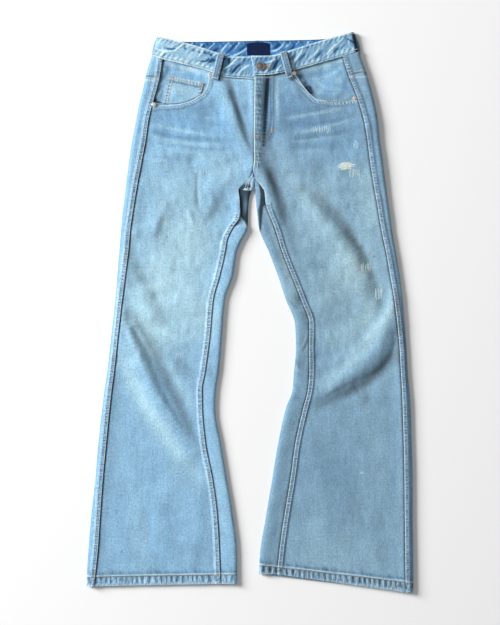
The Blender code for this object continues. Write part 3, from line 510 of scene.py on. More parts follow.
def innerColumns(side, yInner, ySeam, towards):
    edgePoint = pair(edge[side]["inner"](yInner) + halfGap[side], yInner)
    seam = pair(edge[side]["seam"](ySeam) - halfGap[side], ySeam)
    width = np.minimum(7, 0.55 * np.linalg.norm(seam - edgePoint, axis=1))
    rollEnd = edgePoint + unit(edgePoint, seam) * width[:, None]
    drop = hollow[side](ySeam)
    found = []
    for share in np.linspace(0, 1, 10):
        place = lerp(seam, rollEnd, share)
        found.append(np.column_stack([place, topHeight(side, place[:, 0], place[:, 1]) - drop]))
    top = found[-1][:, 2]
    base = np.zeros(len(top))
    found += rollColumns(edgePoint, unit(edgePoint, seam), width, top, base, (68, 46, 24, 6))
    found += rollColumns(edgePoint, unit(edgePoint, towards), width, top, base, (-12, -34, -62, -90))
    return found


underColumns = 24


def backPanelGrid(side):
    levels = np.concatenate([np.arange(hemMiddle(side), 256, cut["rowStep"]), np.linspace(256, 282, 13)])
    yOuter, yInner = slanted(side, levels)
    yOuter = np.where(levels > 256, np.interp(levels, (256, 268, 282), (256, 264, 282)), yOuter)
    ySeam = yInner
    yInner = np.where(levels > 256, np.interp(levels, (256, 268, 282), (256, 263, 268)), yInner)
    towards = pair(edge[side]["outer"](yOuter), yOuter)
    columns = innerColumns(side, yInner, ySeam, towards)
    start = columns[-1][:, :2]
    leg = np.stack(columns + outerColumns(side, yOuter, yOuter, start, underColumns), 1)
    upper = np.linspace(282, yoke[side][0], 84)[1:]
    share = (upper - 282) / (yoke[side][0] - 282)
    trim = np.where(share == 1, cut["seamGap"] / 2, 0)
    yOuter = upper + share * (yoke[side][1] - yoke[side][0]) - trim
    yCentre = lerp(272, yoke[side][2], share) - trim
    start = pair(cut["backRise"] + halfGap[side], yCentre)
    hip = [np.column_stack([start, floorHeight(start[:, 0], start[:, 1])])]
    hip += outerColumns(side, upper - trim, yOuter, start, underColumns)
    hip = np.stack([hip[0]] * len(columns) + hip[1:], 1)
    points = np.concatenate([leg, hip])
    keep = np.ones((points.shape[0] - 1, points.shape[1] - 1), bool)
    keep[len(leg) - 1 :, : len(columns) - 1] = False
    return points, keep


def yokeGrid(side):
    share = np.linspace(0, 1, 36)
    topOutseam = outseamTop[side]
    topOuter = waistSeam[side](bandSide[side][1])
    topCentre = waistSeam["back"](cut["backRise"])
    trim = np.where(share == 0, cut["seamGap"] / 2, 0) - np.where(share == 1, cut["waistGap"] / 2, 0)
    yOutseam = lerp(yoke[side][0], topOutseam, share) + trim
    yOuter = lerp(yoke[side][1], topOuter, share) + trim
    yCentre = lerp(yoke[side][2], topCentre, share) + trim
    start = pair(cut["backRise"] + halfGap[side], yCentre)
    columns = [np.column_stack([start, floorHeight(start[:, 0], start[:, 1])])]
    columns += outerColumns(side, yOutseam, yOuter, start, underColumns)
    points = np.stack(columns, 1)
    under = points[:, : underColumns + 2]
    under[..., 1] = bentRows(under[..., 0], under[..., 1], waistSeam["back"], share) - 0.7 * share[:, None]
    return points


# Washed denim's colours. 'shade', 'deep' and 'hollow' are used mostly for painted shade and shadow, and the
# pale blues for both real fading and wear and painted light. A fade is a soft spot: x, y, half width, half
# length, turn, towards, amount
denimLook = {
    # The right leg's blue is darker and greyer than the left's: painted shade for the window light falling
    # off towards the right.
    "left": (0.278, 0.5, 0.7), "right": (0.232, 0.395, 0.535), "fadedAndLit": (0.575, 0.845, 0.895),
    "dark": (0.055, 0.145, 0.275), "deep": (0.009, 0.021, 0.042), "shade": (0.09, 0.12, 0.145),
    "indigo": (0.15, 0.39, 0.7),
    "inside": (0.105, 0.25, 0.48), "sand": (0.5, 0.7, 0.67), "worn": (0.64, 0.855, 0.9),
    "hollow": (0.022, 0.038, 0.055),
}
# Soft spots of the wash's own fading and darker dye, and 'shade' spots that are painted shade, mostly in
# small folds.
fadesAndShade = {
    "left": [
        (-150, 104, 62, 92, 8, "fadedAndLit", 0.34), (-112, 150, 44, 70, 12, "sand", 0.3),
        (-172, 60, 30, 60, 10, "fadedAndLit", 0.15), (-52, 284, 34, 28, 0, "fadedAndLit", 0.24),
        (-100, -10, 44, 50, 0, "sand", 0.22), (-130, 366, 90, 44, 0, "indigo", 0.34),
        (-40, 420, 30, 60, 0, "indigo", 0.25), (-150, 300, 44, 30, 0, "shade", 0.07),
        (-120, 226, 30, 24, 0, "shade", 0.08), (-180, -400, 90, 110, 0, "indigo", 0.1),
        (-180, -500, 120, 30, 0, "dark", 0.1), (-90, -420, 26, 90, 6, "shade", 0.07),
        (-82, -124, 12, 30, 0, "shade", 0.26), (-222, -440, 18, 100, 6, "fadedAndLit", 0.12),
        (-150, -330, 20, 60, 6, "fadedAndLit", 0.08), (-64, 40, 14, 50, 0, "indigo", 0.14),
        (-58, -340, 14, 60, 6, "fadedAndLit", 0.1), (-190, -60, 60, 50, 20, "sand", 0.22),
        (-200, 70, 44, 60, 0, "sand", 0.16), (-218, 2, 50, 54, 0, "fadedAndLit", 0.3),
        (-204, -52, 22, 30, 20, "fadedAndLit", 0.24), (-120, 410, 110, 56, 0, "dark", 0.18),
        (-140, 240, 90, 90, 0, "fadedAndLit", 0.1), (-176, 30, 80, 80, 0, "fadedAndLit", 0.2),
        (-100, 10, 60, 50, 0, "fadedAndLit", 0.12), (-30, 440, 40, 40, 0, "fadedAndLit", 0.1),
        (-167, 150, 1.8, 1.8, 0, "shade", 0.9), (-257, -480, 1.8, 1.8, 0, "shade", 0.8),
        (-150, 250, 34, 24, 0, "fadedAndLit", 0.1),
    ],
    "right": [
        (200, 96, 46, 70, 24, "sand", 0.34), (222, 70, 26, 44, 20, "fadedAndLit", 0.16),
        (236, -8, 30, 26, 20, "fadedAndLit", 0.24), (150, 30, 50, 60, 0, "sand", 0.14),
        (238, 216, 24, 80, 10, "fadedAndLit", 0.3), (120, 160, 26, 60, -20, "fadedAndLit", 0.12),
        (190, 322, 52, 30, 12, "indigo", 0.16), (96, 372, 60, 60, 0, "dark", 0.16),
        (80, 430, 40, 44, 0, "indigo", 0.18), (206, -390, 22, 70, -4, "shade", 0.12),
        (160, -300, 80, 70, 0, "dark", 0.1), (180, -490, 90, 50, 0, "fadedAndLit", 0.13),
        (130, -440, 26, 90, 6, "fadedAndLit", 0.06), (250, -300, 18, 90, 4, "fadedAndLit", 0.1),
        (107, -60, 8, 14, 0, "shade", 0.24), (100, -96, 8, 16, 0, "shade", 0.28),
        (90, -168, 11, 11, 0, "shade", 0.26), (188, 292, 10, 4.6, 8, "worn", 0.9),
        (74, 60, 20, 50, 12, "fadedAndLit", 0.2), (50, 160, 12, 70, 14, "fadedAndLit", 0.16),
        (300, 40, 14, 240, 6, "fadedAndLit", 0.14), (52, 330, 16, 30, 0, "fadedAndLit", 0.12),
        (96, 400, 60, 24, 0, "dark", 0.2), (140, 226, 60, 60, 0, "fadedAndLit", 0.16),
        (150, 366, 110, 50, 0, "indigo", 0.16), (150, 384, 90, 44, 0, "dark", 0.16),
        (200, -420, 110, 120, 0, "dark", 0.05), (22, 404, 20, 74, 0, "dark", 0.34),
        (44, 420, 14, 60, 0, "indigo", 0.3), (160, -330, 60, 50, 20, "dark", 0.1),
        (190, -44, 44, 26, 20, "fadedAndLit", 0.26), (249, 111, 1.8, 1.8, 0, "shade", 0.9),
        (224, -322, 1.8, 1.8, 0, "worn", 0.9),
    ],
}
# Whiskers, and along the folds and in the fly's valley partly wear and partly painted light and shade: dark
# on the side turned from the window light, pale on the lit side: ax, ay, bx, by, cx, cy, half width, towards,
# amount
strokes = {
    "left": [
        (-204, 366, -138, 349, -20, 344, 4.2, "dark", 0.4),
        (-196, 375, -138, 363, -70, 353, 3.5, "fadedAndLit", 0.42),
        (-150, 336, -106, 327, -50, 326, 4, "dark", 0.28),
        (-200, 352, -140, 339, -60, 334, 4, "fadedAndLit", 0.36),
        (-96, 378, -64, 375, -30, 374, 3.5, "dark", 0.22),
        (-190, 398, -120, 408, -70, 404, 8, "dark", 0.15),
        (-196, 334, -120, 319, -50, 316, 5, "fadedAndLit", 0.16),
        (-120, 390, -90, 388, -40, 390, 3, "fadedAndLit", 0.16),
        (-200, 316, -150, 306, -90, 306, 5, "dark", 0.12),
        (-120, 312, -80, 306, -36, 308, 4, "fadedAndLit", 0.12),
        (-160, 216, -176, 176, -186, 128, 10, "shade", 0.39),
        (-50, 240, -62, 212, -80, 184, 13, "shade", 0.42),
        (-106, 278, -107, 244, -104, 204, 2.6, "shade", 0.44),
        (-101, 272, -102, 244, -100, 210, 2.6, "fadedAndLit", 0.3),
        (-126, 200, -121, 190, -115, 176, 2.4, "fadedAndLit", 0.4),
        (-120, 206, -114, 192, -110, 180, 3, "shade", 0.29),
        (-238, 110, -206, 60, -176, -6, 10, "shade", 0.31), (-46, 468, -26, 412, 6, 320, 6.5, "shade", 0.8),
        (-60, 462, -40, 402, -10, 330, 9, "fadedAndLit", 0.2),
        (-236, -8, -176, -112, -114, -252, 12.5, "shade", 0.62),
        (-256, -90, -204, -196, -106, -330, 17, "fadedAndLit", 0.44),
        (-204, -26, -168, -42, -126, -58, 9, "fadedAndLit", 0.32),
        (-162, -104, -136, -150, -116, -196, 9, "fadedAndLit", 0.28),
        (-148, -90, -124, -112, -100, -140, 10, "shade", 0.31),
        (-226, 240, -232, 160, -238, 60, 5, "fadedAndLit", 0.2),
        (-190, 260, -176, 200, -160, 150, 7, "fadedAndLit", 0.16),
    ],
    "right": [
        (74, 388, 130, 397, 190, 408, 3.5, "fadedAndLit", 0.36), (66, 380, 140, 378, 220, 396, 4.5, "dark", 0.36),
        (92, 360, 140, 367, 204, 386, 3.5, "fadedAndLit", 0.34), (84, 350, 150, 352, 226, 374, 4.5, "dark", 0.32),
        (84, 340, 120, 344, 180, 352, 3.5, "fadedAndLit", 0.26), (82, 330, 120, 332, 168, 336, 5, "dark", 0.26),
        (100, 404, 140, 410, 190, 418, 4, "dark", 0.14), (90, 318, 130, 322, 180, 320, 4, "fadedAndLit", 0.12),
        (20, 330, 50, 254, 76, 172, 13, "shade", 0.62), (26, 306, 50, 254, 70, 196, 5, "deep", 0.16),
        (76, 170, 86, 130, 96, 84, 9, "shade", 0.34), (100, 250, 196, 160, 264, 0, 12, "shade", 0.55),
        (112, 232, 176, 150, 236, 60, 12, "fadedAndLit", 0.12), (286, 50, 262, -28, 150, -146, 13, "fadedAndLit", 0.4),
        (296, -32, 272, -108, 140, -188, 13, "shade", 0.66),
        (228, -158, 231, -172, 227, -182, 8, "shade", 0.55),
        (214, -142, 180, -160, 146, -184, 5, "deep", 0.4),
        (204, -12, 160, -16, 110, -10, 12, "shade", 0.18), (70, 306, 96, 250, 120, 200, 12, "fadedAndLit", 0.18),
        (262, 60, 250, 20, 220, -40, 8, "sand", 0.18), (35.5, 484, 33, 428, 26.5, 332, 6.0, "shade", 0.85),
        (36, 486, 33.6, 430, 27, 334, 3.2, "deep", 3.0), (43, 476, 42, 420, 38, 352, 2.6, "indigo", 0.6),
        (11.6, 470, 11.6, 400, 12.4, 340, 1.6, "dark", 0.8), (78, 22, 86, 16, 92, 8, 2.5, "shade", 0.45),
        (116, -46, 112, -64, 104, -78, 2.4, "deep", 0.55), (84, -88, 96, -102, 100, -112, 3, "shade", 0.45),
        (80, -140, 90, -146, 98, -156, 3, "shade", 0.35), (80, -97, 90, -109, 96, -120, 2, "worn", 0.3),
        (112, -44, 107, -62, 99, -76, 2, "worn", 0.28), (56, 468, 54, 430, 56, 380, 3.5, "fadedAndLit", 0.46),
        (14, 470, 14, 420, 14, 350, 3, "fadedAndLit", 0.3), (96, 480, 92, 450, 112, 418, 5, "shade", 0.26),
    ],
}
wear = {"bars": 11.0, "dots": 5.6}  # how often the hem's roping and a seam's gathers come
seamShows = {"left": (190, 202), "right": (214, 224)}  # the felled inseam turns under above these


def hemLine(side, x):
    y = hemMiddle(side)
    xOut, xIn = edge[side]["outer"](y), edge[side]["inner"](y)
    return lerp(hemEnds[side][0], hemEnds[side][1], (x - xOut) / (xIn - xOut))


def blend(colour, *steps):  # takes a colour part of the way towards others in turn
    for towards, amount in steps:
        towards = np.array(denimLook[towards] if isinstance(towards, str) else towards)
        colour = colour + (towards - colour) * np.asarray(np.clip(amount, 0, 1))[..., None]
    return colour


def bars(x, above):  # the hem's uneven roping, from -1 to 1
    phase = 2 * math.pi * (x + 0.06 * above) / wear["bars"] + 1.3 * np.sin(x / 21) + 0.8 * np.sin(x / 9.3)
    return np.sin(phase) * (0.75 + 0.25 * np.sin(x / 33)) * ease(above, -1, 6) * (1 - ease(above, 16.5, 19))


def dots(along, seed):  # light and dark gathers along a felled seam, from -1 to 1
    phase = 2 * math.pi * along / wear["dots"] + 1.5 * np.sin(along / 19 + seed)
    phase = phase + 1.3 * np.sin(along / 7.7 + 2 * seed)
    return np.sin(phase) * (0.7 + 0.3 * np.sin(along / 41 + seed))


def seamTone(side, colour, fromDitch, along, fade, seed, ditch=0.85):
    # A ditch painted dark as shadow, a gathered band with worn beads, a painted highlight on the band's edge
    # that faces the window light and painted shade on the edge turned from it
    light, shadow = (11.0, -0.4) if side == "left" else (1.6, 11.8)
    inBand = ease(fromDitch, 0.5, 2) * (1 - ease(fromDitch, 9.6, 11.4)) * fade
    beads = dots(along, seed)
    middle = bell(fromDitch - 5.4, 3.2) * fade
    return blend(colour,
        ("indigo", 0.34 * inBand),
        ("worn", (0.62 if side == "left" else 0.42) * np.maximum(beads, 0) * middle),
        ("dark", 0.85 * np.clip(-1.3 * beads, 0, 1) * middle + (0.1 if side == "left" else 0.34) * inBand),
        ("worn", (0.24 if side == "left" else 0.36) * fade * bell(fromDitch - light, 1.2)),
        ("dark", 0.6 * fade * bell(fromDitch - shadow, 1.8)),
        ("deep", ditch * bell(fromDitch + 0.2, 1.3)))


def plainDye(side, x):  # one leg's own blue at each place
    return np.broadcast_to(np.array(denimLook[side]), (*np.shape(x), 3))


def spotted(colour, x, y, spots):  # soft spots of other colours, each turned about its own middle
    for cx, cy, wide, long, turn, towards, amount in spots:
        turn = math.radians(turn)
        u = (x - cx) * math.cos(turn) + (y - cy) * math.sin(turn)
        v = (y - cy) * math.cos(turn) - (x - cx) * math.sin(turn)
        colour = blend(colour, (towards, np.exp(-((u / wide) ** 2) - (v / long) ** 2) * amount))
    return colour


backFades = [  # away from the middle, y, half width, half length, turn, colour, amount
    (92, 330, 62, 70, 0, "fadedAndLit", 0.3), (110, 180, 50, 110, 0, "fadedAndLit", 0.16),
    (160, -60, 60, 90, 6, "fadedAndLit", 0.14), (150, 250, 90, 5, 12, "dark", 0.16),
    (120, 262, 80, 4, -8, "dark", 0.14), (165, 30, 56, 4, 14, "dark", 0.22),
    (170, 8, 60, 4, -10, "dark", 0.2), (168, -18, 56, 4, 12, "dark", 0.18),
    (160, 20, 50, 4, 3, "fadedAndLit", 0.2), (190, -380, 90, 120, 0, "indigo", 0.12),
]


def underDye(side, x, y):  # the cloth's colour on the underside, where both legs are alike at the middle
    colour = lerp(np.array(denimLook["left"]), np.array(denimLook["right"]), ease(x, -90, 90)[..., None])
    colour = spotted(colour, outward[side] * x, y, backFades)
    nearRise = outward[side] * (x - cut["backRise"])
    colour = blend(colour, ("worn", 0.3 * np.maximum(dots(y, 6), 0) * bell(nearRise - 5, 4) * (y > 250)))
    above = y - hemLine(side, x)
    return blend(colour,
        ("dark", 0.3 * bell(above - 25, 4) + 0.12 * (1 - ease(above, 17, 19))),
        ("worn", 0.45 * bell(above - 20.8, 1.6) + 0.4 * bell(above - 1.5, 3)))


def dyeAt(side, x, y, front=True):  # the cloth's colour at a place
    colour = plainDye(side, x)
    if front:
        colour = spotted(colour, x, y, fadesAndShade[side])
        # Whiskers, and the painted shade and light of the folds
        for *line, wide, towards, amount in strokes[side]:
            far, down = nearLine(line, x, y, 3 * wide)
            fade = np.sin(np.pi * np.clip(0.08 + 0.84 * down, 0, 1)) ** 0.7
            colour = blend(colour, (towards, bell(far, wide) * fade * amount))
    fromOutseam = beyond(side, "outseam", x, y)
    fromSeam = beyond(side, "seam", x, y)
    colour = seamTone(side, colour, fromOutseam, y, 1.0, 1 + outward[side], 0.85 if front else 0.4)
    below = 1 - ease(y, *seamShows[side])
    colour = seamTone(side, colour, fromSeam, y, below, 4 + outward[side])
    turned = bell(fromSeam, 2.0) * (1 - below) * (1 - ease(y, 262, 276)) * (fromSeam > -0.5)
    colour = blend(colour, ("worn", 0.6 * turned))
    # Painted shade along the rim that faces the window light, to hold down its glare
    lampSideRim = edge[side]["outer" if side == "left" else "inner"](y)
    colour = blend(colour, ("dark", 0.6 * bell(x - lampSideRim, 3.0)))
    above = y - hemLine(side, x)
    rope = bars(x, above)
    spikes = 0.5 + 0.5 * np.sin(x / 1.9 + 2.4 * np.sin(x / 5.3) + above / 6)
    strong = 0.88 if side == "left" else 1.0
    inHem = ease(above, -1, 1) * (1 - ease(above, 17, 19))
    colour = blend(colour,
        ("dark", 0.16 * strong * inHem),
        ("worn", 0.34 * np.maximum(rope, 0) + 0.3 * bell(above - 1.5, 2.8)),
        ("dark", strong * np.clip(-2.6 * rope, 0, 1) * ease(above, 3, 7)),
        ("deep", (0.45 if side == "left" else 0.9) * np.clip(-2.6 * rope - 0.9, 0, 1) * ease(above, 5, 12)))
    lowDots = np.maximum(np.sin(x / 0.95 + 2 * np.sin(x / 7)), 0) * bell(above - 2.5, 1.8)
    colour = blend(colour, ("dark", 0.7 * strong * lowDots))
    tall = 3.2 + 3.0 * spikes * (1 + np.sin(x / 11))
    return blend(colour,
        ("dark", (0.34 + 0.5 * spikes) * strong * (above > 22) * bell(above - 23.5, tall)),
        ("worn", 0.62 * bell(above - 20.8, 1.4)),
        ("deep", 0.55 * bell(above - 18.2, 1.1)))


def sewnAt(side, x, y):  # red: gathers down the leg, green: gathers round it, blue: rubbed white
    fromOutseam = beyond(side, "outseam", x, y)
    fromSeam = beyond(side, "seam", x, y)
    down = bell(fromOutseam - 5, 6) + bell(fromSeam - 5, 6) * (1 - ease(y, *seamShows[side]))
    around = bell(y - hemLine(side, x) - 8, 9)
    return np.clip(np.stack([down, around, 0.1 * down + 0.14 * around], -1), 0, 1)


def joined(tree, kind, *values, operation=None):  # a node with its inputs linked or set in turn
    node = tree.nodes.new(kind)
    if operation:
        node.operation = operation
    for socket, value in zip(node.inputs, values):
        if isinstance(value, bpy.types.NodeSocket):
            tree.links.new(value, socket)
        elif value is not None:
            socket.default_value = value
    return node


def noiseOf(tree, vector, scale, detail=2.0, rough=0.5):  # soft noise on cloth coordinates, about 0.5
    size = joined(tree, "ShaderNodeVectorMath", vector, scale, operation="MULTIPLY")
    node = tree.nodes.new("ShaderNodeTexNoise")
    tree.links.new(size.outputs[0], node.inputs["Vector"])
    node.inputs["Scale"].default_value = 1.0
    node.inputs["Detail"].default_value = detail
    node.inputs["Roughness"].default_value = rough
    return node.outputs["Fac"]


def mathOf(tree, operation, *values):
    return joined(tree, "ShaderNodeMath", *values, operation=operation).outputs[0]


def newMaterial(name, roughness, metallic=0.0):
    material = bpy.data.materials.new(name)
    material.use_nodes = True
    shader = material.node_tree.nodes["Principled BSDF"]
    shader.inputs["Roughness"].default_value = roughness
    shader.inputs["Metallic"].default_value = metallic
    return material, material.node_tree, shader


def mixed(tree, shader, share, first, second):  # a base colour that goes from the first colour to the second
    mix = tree.nodes.new("ShaderNodeMix")
    mix.data_type = "RGBA"
    for name, value in (("Factor", share), ("A", first), ("B", second)):
        if isinstance(value, bpy.types.NodeSocket):
            tree.links.new(value, mix.inputs[name])
        else:
            mix.inputs[name].default_value = (*value, 1)
    tree.links.new(mix.outputs["Result"], shader.inputs["Base Color"])


def bumped(tree, shader, height, distance, strength=1.0):
    bump = tree.nodes.new("ShaderNodeBump")
    bump.inputs["Strength"].default_value = strength
    bump.inputs["Distance"].default_value = distance
    tree.links.new(height, bump.inputs["Height"])
    tree.links.new(bump.outputs[0], shader.inputs["Normal"])


def clothPlace(tree):  # the cloth's own coordinates
    node = tree.nodes.new("ShaderNodeUVMap")
    node.uv_map = "cloth"
    return node.outputs[0]


weave = {
    "twillPitch": 0.001, "slub": 0.45, "grain": 0.6, "fleck": 0.85, "mottle": 0.26, "streak": 0.26,
    "rubbed": (0.74, 0.84, 0.88),
}


def denimMaterial(name):
    material, tree, shader = newMaterial(name, 0.88)
    shader.inputs["Sheen Weight"].default_value = 0.05
    shader.inputs["Sheen Roughness"].default_value = 0.6
    shader.inputs["Specular IOR Level"].default_value = 0.14
    at = clothPlace(tree)
    dye, sewn = (tree.nodes.new("ShaderNodeAttribute") for _ in range(2))
    dye.attribute_name, sewn.attribute_name = "dye", "sewn"
    stitched = joined(tree, "ShaderNodeSeparateColor", sewn.outputs["Color"])
    slub = noiseOf(tree, at, (760, 34, 1), 3)
    weft = noiseOf(tree, at, (40, 620, 1), 2)
    grain = noiseOf(tree, at, (560, 420, 1), 2, 0.7)
    mottle = noiseOf(tree, at, (34, 24, 1), 5, 0.62)
    streak = noiseOf(tree, at, (150, 11, 1), 3, 0.6)
    fleck = noiseOf(tree, at, (290, 230, 1), 2, 0.6)
    gatherDown = noiseOf(tree, at, (95, 260, 1), 2)
    gatherRound = noiseOf(tree, at, (260, 90, 1), 2)

    def times(value, size):
        return mathOf(tree, "MULTIPLY", value, size)

    def centred(value, size):
        return times(mathOf(tree, "SUBTRACT", value, 0.5), size)

    def added(total, *others):
        for other in others:
            total = mathOf(tree, "ADD", total, other)
        return total

    down, around, rub = stitched.outputs[:3]
    gathers = added(times(centred(gatherDown, 2.0), down), times(centred(gatherRound, 2.0), around))
    lightness = added(
        centred(slub, weave["slub"]), centred(grain, weave["grain"]), centred(weft, 0.4 * weave["slub"]),
        centred(fleck, weave["fleck"]), centred(mottle, 2 * weave["mottle"]),
        centred(streak, weave["streak"]), gathers, 1.0)
    toned = joined(tree, "ShaderNodeVectorMath", dye.outputs["Color"], operation="SCALE")
    tree.links.new(lightness, toned.inputs["Scale"])
    rubbed = times(times(rub, added(gathers, 0.55)), added(centred(grain, 1.6), 1.0))
    mixed(tree, shader, rubbed, toned.outputs[0], weave["rubbed"])
    parts = joined(tree, "ShaderNodeSeparateXYZ", at)
    slope = added(parts.outputs[0], parts.outputs[1])
    twill = mathOf(tree, "SINE", times(slope, 2 * math.pi / weave["twillPitch"]))
    height = added(times(twill, 0.25), centred(grain, 1.2), centred(slub, 1.0), times(gathers, 4.0))
    bumped(tree, shader, height, 0.00035, 0.8)
    return material


denim = denimMaterial("washedDenim")


def wallAt(side, x, y):
    return np.where(y < hemLine(side, x) + cut["hemHeight"] + 0.5, cut["hemWall"], cut["denim"])


def fit(piece, material=None, node=None):  # rides the body, and stands for a solid if it has one
    if material:
        piece.data.materials.append(material)
    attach(piece, "root")
    if node:
        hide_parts(node)


def dress(piece, node):  # a cloth piece in washed denim, riding the body and standing for its solid
    fit(piece, denim, node)


beltLoops = {  # name: ax, ay, bx, by, sideways bow, and the side whose front it stands on
    "front_left": (-57.6, 517.4, -70.2, 464.6, 0, "left"),
    "front_right": (65.6, 520.4, 80.2, 466.8, 0, "right"),
    "side_left": (-179.6, 551.0, -191.0, 505.0, -3.0, None),
    "side_right": (202.4, 559.0, 214.0, 503.0, 5.5, None),
    "back": (16.0, 544.0, 16.0, 497.0, 0, None),
}


def besideLoops(x, y):  # the shadow along the right edge of the two front belt loops
    shadow = np.zeros(np.shape(x))
    for ax, ay, bx, by, _, on in beltLoops.values():
        if not on:
            continue
        long = math.hypot(bx - ax, by - ay)
        along = ((x - ax) * (bx - ax) + (y - ay) * (by - ay)) / long
        aside = -((x - ax) * (by - ay) - (y - ay) * (bx - ax)) / long
        shadow += bell(aside - 7.6, 2.0) * ease(along, 0, 5) * (1 - ease(along, long - 2, long + 3))
    return shadow


for side in sides:
    grid = frontPanelGrid(side)
    x, y = grid[..., 0], grid[..., 1]
    turn = -outward[side]
    dye = dyeAt(side, x, y)
    fromFly = np.linalg.norm(grid - grid[:, -1:], axis=-1)
    opening = scoopAt(side, np.linspace(0, 1, 90))
    close = (y > 380) & (x * outward[side] > 60)
    fromScoop = np.full(x.shape, 99.0)
    fromScoop[close] = awayFrom(opening, x[close], y[close])
    # Pale lines: on the pocket opening's rim they are wear, and on the fly's lapped edge partly wear and
    # partly a painted highlight where it faces the window light
    rim = bell(fromScoop, 1.5)
    rim = rim + bell(fromFly, 2.2) * ease(y, 276, 300) * (side == "right")
    beads = dots(0.8 * (x + y), 2) * bell(fromScoop - 5, 2.2)
    dye = blend(dye,
        ("indigo", 0.35 * bell(fromScoop - 5, 3)),
        ("worn", 0.85 * rim + 0.8 * np.maximum(beads, 0)),
        ("dark", 0.85 * np.clip(-1.2 * beads, 0, 1) + 0.4 * bell(fromScoop - 9.8, 1.6)))
    mottled = bell(fromFly - 9, 6) * ease(y, 276, 300) * (side == "right")
    blots = np.sin(y / 2.4 + 1.9 * np.sin(y / 7.1) + x / 1.9)
    blots = blots * np.sin(x / 2.3 - y / 5.7 + 1.4 * np.sin(y / 11))
    dye = blend(dye,
        ("shade", 0.46 * mottled),
        ("fadedAndLit", 0.42 * mottled * np.maximum(blots, 0)),
        ("dark", 0.9 * mottled * np.clip(-1.8 * blots, 0, 1)))
    # Painted shadow under the waistband's lower edge and beside the front belt loops, with a pale line a
    # little below the band
    belowBand = waistSeam[side](x) - y
    dye = blend(dye,
        ("worn", 0.3 * bell(belowBand - 4, 1.6)),
        ("deep", 0.65 * bell(belowBand, 1.5) + 1.2 * besideLoops(x, y)))
    piece = sheetOf(
        f"frontPanel_{side}", grid, grid[..., :2], wallAt(side, x, y), dye, sewnAt(side, x, y), turn=turn)
    dress(piece, f"front_{side}")
    print("front panel", side, len(piece.data.polygons))

    grid, keep = backPanelGrid(side)
    x, y, z = grid[..., 0], grid[..., 1], grid[..., 2]
    steps = np.linalg.norm(np.diff(grid, axis=1), axis=-1)
    across = np.concatenate([np.zeros((len(grid), 1)), np.cumsum(steps, axis=1)], axis=1)
    flat = np.stack([across[:, -1:] - across, y], -1)
    dye, sewn = dyeAt(side, x, y), sewnAt(side, x, y)
    hidden = 1 - ease(z - floorHeight(x, y), 0.6, 2.4)
    if side == "left":
        fromFold = y - (163.3 - 1.37 * x)
        hollowShadow = ease(fromFold, 0, 5) * (1 - ease(y, 252, 264)) * (x > -40)
        patch = np.exp(-(((x + 9) / 4) ** 2) - ((y - 214) / 15) ** 2)
        dye = blend(dye,
            ("worn", 0.7 * bell(fromFold + 1.5, 1.8) * (x > -22) * (x < 2) * (y < 200)),
            ("shade", 0.16 * np.exp(-(((x + 10) / 6) ** 2) - ((y - 168) / 7) ** 2)))
    else:
        first = np.interp(y, (158, 169, 204, 215, 234, 255, 274), (19, 18.6, 17, 20, 21.6, 18, 14))
        last = np.interp(y, (158, 169, 190, 209, 222, 226), (20, 22.6, 24, 26, 34, 60))
        hollowShadow = ease(x, first - 2, first + 1) * (1 - ease(x, last - 1, last + 2)) * ease(y, 152, 166)
        patch = 0 * x
    dye = lerp(dye, underDye(side, x, y), hidden[..., None])
    sewn = lerp(sewn, 0.3 * sewn, hidden[..., None])
    # Painted shadow in the crotch's hollow, where the front panel's edge shades the back panel's strip,
    # lighter over the fold's corner
    dye = blend(dye, ("hollow", 0.96 * hollowShadow * (z - floorHeight(x, y) > 1) * (1 - 0.45 * patch)))
    nearYoke = yoke[side][0] - 1 - y
    dye = blend(dye, ("deep", 0.75 * bell(nearYoke, 1.7)), ("worn", 0.5 * bell(nearYoke - 8, 1.6)))
    piece = sheetOf(f"backPanel_{side}", grid, flat, wallAt(side, x, y), dye, sewn, turn=turn, keep=keep)
    dress(piece, f"back_{side}")

    grid = yokeGrid(side)
    x, y, z = grid[..., 0], grid[..., 1], grid[..., 2]
    hidden = 1 - ease(z - floorHeight(x, y), 0.6, 2.4)
    dye = lerp(dyeAt(side, x, y), underDye(side, x, y), hidden[..., None])
    sewn = sewnAt(side, x, y) * (1 - 0.7 * hidden[..., None])
    piece = sheetOf(f"yokePanel_{side}", grid, grid[..., :2], cut["denim"], dye, sewn, turn=turn)
    dress(piece, f"yoke_{side}")
    print("back panel and yoke", side)

# The waistband is one strip: over the button, round the right side, the back and the left side,
# and under the overlap
band = {"rollWidth": 8.0, "overlap": 2.0, "underlapFrom": 8.5, "underlapTo": 42.0, "base": 1.8}
bandLook = {"ropes": 0.3, "ropeEvery": 9.5, "relief": 0.85}
